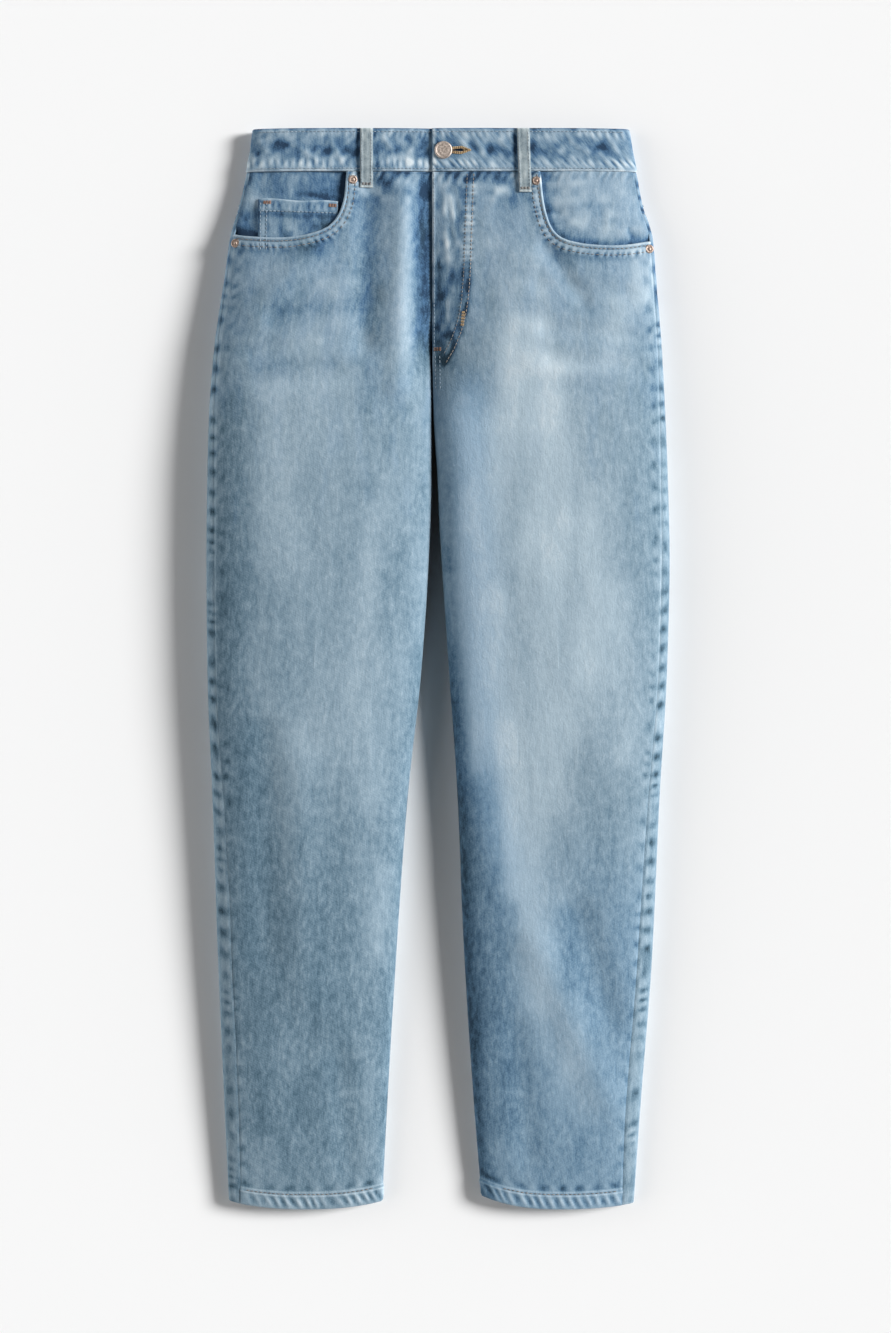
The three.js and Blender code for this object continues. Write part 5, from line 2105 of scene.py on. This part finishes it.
@dataclass
class Stitching:
    """Rows of thread, all of one colour, gathered as one mesh.

    Each stitch is a short six-sided spindle that dips into the cloth at both ends.
    """

    name: str
    rows: list = field(default_factory=list)

    def row(
        self,
        ground: Ground,
        path: Path,
        aside: float = 0.0,
        start: float = 0.0,
        end: float | None = None,
        step: float = 3.6,
        width: float = 0.75,
        cover: float = 0.72,
        below: bool = False,
    ) -> None:
        """Adds a row along a path seen from above.

        Args:
            ground: what it is sewn into.
            path: the line that it follows.
            aside: distance from that line, to its left.
            start: where it starts on the line, in mm.
            end: where it ends; the line's end if it isn't given.
            step: length from one stitch to the next.
            width: thickness of the thread.
            cover: share of each step that the visible part of a stitch takes.
            below: sews it on the underside, sunk in so that the garment still lies flat.
        """
        end = path.length if end is None else end
        count = max(1, int((end - start) / step))
        middle = start + (np.arange(count) + 0.5) * (end - start) / count
        wobble = Unevenness(len(self.rows) + 5).along(middle / 5.0) * 0.18
        half = cover * step / 2
        tips = [path.at(middle + k * half, 0.0) for k in (-1, 1)]
        way = path.direction(middle)
        left = np.stack([-way[:, 1], way[:, 0]], axis=-1) * (aside + wobble)[:, None]
        plan = np.concatenate([tips[0] + left, (tips[0] + tips[1]) / 2 + left, tips[1] + left])
        points, normals = ground.under(plan, below)
        points[:, 2] += 0.6 * width if below else 0.0
        a, m, b = np.split(points, 3)
        self.rows.append((a, m, b, unit(sum(np.split(normals, 3))), np.full(count, width)))

    def under(self, ground: Ground, x: Array, y: Array) -> None:
        """Adds a row of straight stretches on the underside."""
        self.row(ground, straight(*zip(x.tolist(), y.tolist())), below=True)

    def tack(self, ground: Ground, start: tuple, end: tuple, gap: float = 0.8) -> None:
        """Adds a bartack: four close rows of long stitches from one place to another."""
        for place in (-1.5, -0.5, 0.5, 1.5):
            self.row(ground, straight(start, end), place * gap, step=2.4, cover=0.96)

    def build(self, thread: bpy.types.Material) -> bpy.types.Object:
        """Makes the mesh of all rows.

        Args: thread: its finish.
        Returns: the object.
        """
        a, m, b, n, width = (np.concatenate(part) for part in zip(*self.rows))
        w = width[:, None]
        way = unit(b - a)
        side = unit(np.cross(way, n))
        top = unit(np.cross(side, way))
        dip = 0.25 * w * top
        spine = (a - dip, 0.75 * a + 0.25 * m, m, 0.75 * b + 0.25 * m, b - dip)
        lift = (0.0, 0.3, 0.42, 0.3, 0.0)
        girth = (0.55, 0.95, 1.0, 0.95, 0.55)
        turn = (np.arange(6) * math.pi / 3)[None, :, None]
        around = np.cos(turn) * side[:, None] + np.sin(turn) * top[:, None]
        rings = []
        for centre, up, size in zip(spine, lift, girth):
            rings.append((centre + up * w * top)[:, None] + around * (size * w / 2)[:, None])
        rings = np.stack(rings, axis=1)
        count = len(a)
        points = rings.reshape(count, -1, 3)
        k, j = np.arange(6), np.roll(np.arange(6), -1)
        faces = [np.stack([r + k, r + j, r + 6 + j, r + 6 + k], -1) for r in range(0, 24, 6)]
        first = np.array([[0, 5, 4, 3], [0, 3, 2, 1]])
        last = 24 + np.array([[0, 1, 2, 3], [0, 3, 4, 5]])
        one = np.concatenate([*faces, first, last])
        every = (np.arange(count)[:, None, None] * 30 + one[None]).reshape(-1, 4)
        tone = np.repeat(Unevenness(6).along(np.arange(count) * 0.83), 30)
        return add_object(self.name, points.reshape(-1, 3), every, thread, {"tone": tone}, 80.0)


@dataclass(frozen=True)
class Studio:
    """A pale floor, a lamp on the right, a broad low one on the left and the camera above."""

    view_x: float = 6.9
    view_y: float = 2.3
    view_height: float = 1232.0
    subject_height: float = 20.0
    camera_height: float = 3200.0
    sensor: float = 36.0
    floor_half: float = 4000.0
    lamps: tuple[tuple[str, float, float, float, float], ...] = (
        ("key_lamp", 13.0, 27.1, 19.0, 4.75),
        ("fill_lamp", 178.0, 20.0, 50.0, 0.8),
    )
    horizon: float = 2.7
    zenith: float = 0.015
    ends: float = 0.01

    def build(self, floor_finish: bpy.types.Material) -> None:
        """Adds the floor, the lamps, the surrounding light and the camera.

        Args: floor_finish: the floor's material.
        """
        scene = bpy.context.scene
        half = self.floor_half
        corners = np.array([[-half, -half, 0], [half, -half, 0], [half, half, 0], [-half, half, 0]])
        floor = add_object("floor", corners, np.array([[0, 1, 2, 3]]), floor_finish)
        floor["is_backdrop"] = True
        for name, azimuth, elevation, size, strength in self.lamps:
            self.lamp(name, azimuth, elevation, size, strength)
        scene.world = self.surroundings()
        eye = bpy.data.cameras.new("camera")
        eye.sensor_width = self.sensor
        away = self.camera_height - self.subject_height
        eye.lens = self.sensor * away / self.view_height
        eye.clip_end = 20.0
        holder = bpy.data.objects.new("camera", eye)
        holder.location = (self.view_x * MM, self.view_y * MM, self.camera_height * MM)
        scene.collection.objects.link(holder)
        scene.camera = holder
        scene.view_settings.view_transform = "Standard"

    def lamp(
        self, name: str, azimuth: float, elevation: float, size: float, strength: float
    ) -> None:
        """Adds a far lamp.

        Args:
            name: its name.
            azimuth: direction towards it in degrees from +X to +Y.
            elevation: its height over the floor in degrees.
            size: how wide it looks from the garment, in degrees.
            strength: its light, in watts per square metre.
        """
        lamp = bpy.data.lights.new(name, "SUN")
        lamp.energy = strength
        lamp.angle = math.radians(size)
        stand = bpy.data.objects.new(name, lamp)
        turn, rise = math.radians(azimuth), math.radians(elevation)
        level = math.cos(rise)
        towards = Vector((math.cos(turn) * level, math.sin(turn) * level, math.sin(rise)))
        stand.rotation_euler = towards.to_track_quat("Z", "Y").to_euler()
        bpy.context.scene.collection.objects.link(stand)

    def surroundings(self) -> bpy.types.World:
        """Light that is bright low at both sides and fades towards the ceiling and both ends.

        Its strength is zenith + horizon * (1 - z) ** 1.5 * (ends + (1 - ends) * x ** 2), with x and
        z the direction's parts.

        Returns: the world.
        """
        world = bpy.data.worlds.new("surroundings")
        world.use_nodes = True
        nodes, links = world.node_tree.nodes, world.node_tree.links
        place, split = nodes.new("ShaderNodeTexCoord"), nodes.new("ShaderNodeSeparateXYZ")
        links.new(place.outputs["Generated"], split.inputs[0])

        def math_step(operation: str, first: object, second: object) -> bpy.types.NodeSocket:
            """One calculation with two sockets or numbers."""
            step = nodes.new("ShaderNodeMath")
            step.operation = operation
            for socket, value in zip(step.inputs, (first, second)):
                if isinstance(value, (int, float)):
                    socket.default_value = value
                else:
                    links.new(value, socket)
            return step.outputs[0]

        x, up = split.outputs["X"], math_step("MAXIMUM", split.outputs["Z"], 0.0)
        low = math_step("POWER", math_step("SUBTRACT", 1.0, up), 1.5)
        sideways = math_step("MULTIPLY", math_step("MULTIPLY", x, x), 1.0 - self.ends)
        sides = math_step("ADD", sideways, self.ends)
        light = math_step("MULTIPLY", math_step("MULTIPLY", low, self.horizon), sides)
        background = nodes["Background"]
        links.new(math_step("ADD", light, self.zenith), background.inputs["Strength"])
        background.inputs["Color"].default_value = (1.0, 1.0, 1.0, 1.0)
        return world


RIGHT_FACING_CREASES = creases(
    (
        (-180, 448, -164, 424, 12, 0.4, 0.24), (-150, 452, -110, 446, 8, 0.3, 0.1),
        (-139, 441, -88, 434, 3.0, -0.4, -0.3), (-160, 420, -168, 404, 5, 0.3, 0.1),
        (-96, 456, -92, 440, 5, -0.3, -0.16),
    ),
    taper=0.3,
)
# The dark stroke from (97, 455) to (112, 453) is painted shadow under the waistband.
LEFT_FACING_CREASES = creases(
    (
        (98, 447, 146, 450, 4, 0.4, 0.12), (97, 455, 112, 453, 4, -0.4, -0.24),
        (99, 427, 115, 419, 3, -0.6, -0.26), (104, 432, 134, 427, 5, 0.5, 0.14),
        (116, 412, 140, 408, 5, 0.4, 0.14), (150, 432, 150, 414, 6, -0.4, -0.14),
        (157, 430, 157, 404, 4, 0.3, 0.1), (176, 410, 181, 396, 2.6, -0.8, -0.34),
        (170, 408, 172, 396, 4, 0.4, 0.1),
    ),
    taper=0.3,
)
RIVETS = (
    Rivet("rivet_right_top", -78.6, 452.0),
    Rivet("rivet_right_side", -187.2, 393.4),
    Rivet("rivet_left_top", 90.6, 450.8),
    Rivet("rivet_left_side", 195.2, 388.2),
)
FACINGS = (
    PocketFacing(Side.RIGHT, 62.0, 0.33, RIGHT_FACING_CREASES),
    PocketFacing(Side.LEFT, 72.0, 0.62, LEFT_FACING_CREASES),
)
FRONT_LOOPS = (
    BeltLoop(Side.RIGHT, -66.0, -66.0, 445.0),
    BeltLoop(Side.LEFT, 78.7, 80.6, 440.5),
)
BACK_LOOPS = (
    BackLoop("back_right", -118.0),
    BackLoop("centre_back", BACK_X),
    BackLoop("back_left", 118.0),
)
# The strips under the fly, each with its finish and slot.
UNDER_FLY = (
    (UnderFly("zip_tape", 1.9, 1.2, 26.0, 304.0, 0.3), "tape", "tape"),
    (UnderFly("fly_shield", 3.7, CLOTH, 32.0, 300.0, 0.42), "denim", "denim_dark"),
)


@dataclass
class Garment:
    """The whole pair of jeans: builds every piece and says what it stands for."""

    finishes: dict[str, bpy.types.Material]

    def keep(self, piece: bpy.types.Object, node: str | None) -> None:
        """Hides the solid that a piece stands for, hangs the piece on the root body and logs its
        faces.

        Args:
            piece: the object.
            node: the solid that it stands for, if any.
        """
        if node:
            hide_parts(node)
        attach(piece, "root")
        log.info("%s: %d faces", piece.name, len(piece.data.polygons))

    def add(self, node: str, cloth: ClothMesh, finish: str = "denim", slot: str = "denim") -> None:
        """Args:
            node: the solid that it stands for.
            cloth: its mesh.
            finish: the finish that it is given.
            slot: not used.
        """
        kind = "cloth" if finish == "tape" else "denim"
        self.keep(add_cloth(f"{node}_{kind}", cloth, self.finishes[finish]), node)

    def build(self) -> None:
        """Builds all pieces in the order in which they are sewn on."""
        fronts, backs = [], []
        makers = (("front_leg", FrontPanel), ("back_leg", BackPanel), ("yoke", Yoke))
        for side in Side:
            for kind, maker in makers:
                mesh = shell(maker(side).face(), CLOTH, 4)
                (fronts if maker is FrontPanel else backs).append(mesh)
                self.add(f"{kind}_{side.name.lower()}", mesh)
        for facing in FACINGS:
            node = "pocket_facing_" + facing.side.name.lower()
            self.add(node, shell(facing.face(), CLOTH, 4), slot="denim_dark")
        coin = CoinPocket().mesh()
        self.add("coin_pocket", coin, slot="denim_dark")
        band = shell(Waistband().face(), BAND_CLOTH, 2)
        self.add("waistband", band)
        loops = [loop.mesh() for loop in FRONT_LOOPS]
        for loop, mesh in zip(FRONT_LOOPS, loops):
            self.add("belt_loop_front_" + loop.side.name.lower(), mesh, "worn")
        for loop in BACK_LOOPS:
            self.add("belt_loop_" + loop.name, loop.mesh(), "worn")
        for side in Side:
            backs.append(BackPocket(side).mesh())
            self.add("back_pocket_" + side.name.lower(), backs[-1])
        for strip, finish, slot in UNDER_FLY:
            self.add(strip.name, strip.mesh(), finish, slot)
        front = Ground.of([*fronts, band, *loops, coin])
        panels = Ground.of([*fronts, band, coin])
        for rivet in RIVETS:
            metal = rivet.build(panels, self.finishes["rivet"])
            self.keep(metal, rivet.name)
        self.keep(Button().build(panels, self.finishes["button"]), "button")
        self.sew(front, panels)
        self.sew_back(Ground.of([*backs, band]))

    def sew(self, front: Ground, panels: Ground) -> None:
        """Adds the threads that show.

        Args:
            front: everything on the front.
            panels: the same without the belt loops.
        """
        sand = Stitching("sand_stitches")
        blue = Stitching("blue_stitches")
        rust = Stitching("rust_stitches")
        taupe = Stitching("taupe_stitches")
        tan = Stitching("tan_stitches")
        for side, path in POCKET_EDGE.items():
            into = -side.value
            taupe.row(panels, path, into * 3.4, 4, path.length - 6, 4.0, 0.8)
            taupe.row(panels, path, into * 9.2, 4, path.length - 4, 4.0, 0.7)
        low, high = BAND_ROWS
        blue.row(panels, straight((-168.0, low), (168.0, low)))
        blue.row(panels, straight((-166.0, high), (172.0, high)))
        sand.row(panels, FLY_STITCH, -0.5, width=0.6)
        taupe.row(panels, FLY_STITCH, -6.5, 0, FLY_STITCH.length - 6, width=0.6)
        for x in (-2.6, 1.6):
            blue.row(panels, straight((x, 290.0), (x + 0.4, 258.0)))
        rust.tack(panels, (-4.6, 295.5), (3.0, 295.5))
        tan.tack(panels, (23.4, 330.0), (22.4, 316.0), 0.7)
        rust.tack(panels, (-161.5, 431.0), (-154.0, 430.9))
        rust.tack(panels, (-101.0, 428.0), (-93.6, 427.6))
        for gap in (2.4, 8.0):
            x = CoinPocket.left + gap
            blue.row(panels, straight((x, 431.5), (x, 386.0)))
        blue.row(panels, straight((-164.0, 423.4), (-94.0, 420.6)))
        blue.row(panels, straight((-3.6, 458.0), (-3.6, 290.0)))
        for loop in FRONT_LOOPS:
            for edge in (-4.4, 4.4):
                ends = ((loop.centre(y) + edge, y) for y in (496.0, loop.end_y + 3))
                blue.row(front, straight(*ends), step=3.0, width=0.6)
            low = loop.end_y + 3.2
            taupe.tack(front, (loop.end_x - 4.5, low), (loop.end_x + 4.5, low), 0.6)
        hole = straight((10, 481.6), (22, 482.6), (31, 479.4), (22, 476.2), (10, 477.4))
        for aside in (0.0, -1.1):
            tan.row(panels, hole, aside, step=1.7, width=1.4, cover=0.95)
        for side in Side:
            x = side.value * np.linspace(60, 178, 20)
            across = side.value * x
            ankle = FORM.slice(side, np.array(-490.0))
            inside = (across > ankle.inner + 3) & (across < ankle.seam - 3)
            y = FORM.hem(side, across)[inside] + HEM_FOLD
            taupe.row(panels, Path(tuple(zip(x[inside].tolist(), y.tolist()))), step=4.0, width=0.9)
        for thread in (sand, blue, rust, taupe, tan):
            finish = thread.name.split("_")[0]
            self.keep(thread.build(self.finishes[finish]), None)

    def sew_back(self, ground: Ground) -> None:
        """Adds the threads on the underside.

        Args: ground: the underside.
        """
        rear = Stitching("rear_stitches")
        for side in Side:
            pocket = BackPocket(side)
            for inset in (2.2, 8.0):
                u = np.array([-1.0, -1.0, 0.0, 1.0, 1.0]) * (1 - 2 * inset / pocket.width)
                v = np.array([2.0 / pocket.edge, 1.0, 1.0, 1.0, 2.0 / pocket.edge])
                x, y = pocket.corner(u, v)
                rear.under(ground, x, y + np.where(v == 1.0, inset, 0.0))
            rear.under(ground, *pocket.corner(np.array([-0.97, 0.97]), np.full(2, 0.15)))
            w = np.linspace(1.2, 2.95, 12)
            x = FORM.back(side, w, yoke_seam(side, w))[:, 0]
            for rise in (2.2, 8.0):
                rear.under(ground, x, yoke_seam(side, w) + rise)
            rear.under(ground, np.full(2, BACK_X + side.value * 3.0), np.array([388.0, 262.0]))
        for y in BAND_ROWS:
            rear.under(ground, np.array([-160.0, 160.0]), np.full(2, y))
        self.keep(rear.build(self.finishes["blue"]), None)


def main() -> None:
    """Builds the garment and the studio."""
    finishes = {
        "denim": WashedDenim("washed_denim").build(),
        "sand": Thread("sand_thread", "827870", "b9b0a8").build(),
        "blue": Thread("blue_grey_thread", "6f8496", "a9b7c1").build(),
        "worn": WashedDenim("worn_denim", 0.0, GREYED, GREYED).build(),
        "tan": Thread("tan_thread", "8f7350", "cbb38e").build(),
        "taupe": Thread("taupe_thread", "67686c", "97938f").build(),
        "rust": Thread("rust_thread", "7a5c4e", "a88674").build(),
        "rivet": AntiqueMetal("copper_plate", "8a7468", "d0beb2", 0.45).build(),
        "button": AntiqueMetal("antique_nickel", "b3a398", "e6dad0", 0.5).build(),
        "tape": WovenTape().build(),
    }
    Garment(finishes).build()
    Studio().build(PaintedFloor().build())
    boxes = {"cad": CAD_BOX, "visual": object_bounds()}
    {name: [list(corner) for corner in box] for name, box in boxes.items()}


if __name__ == "__main__":
    logging.basicConfig(level=logging.INFO)
    main()
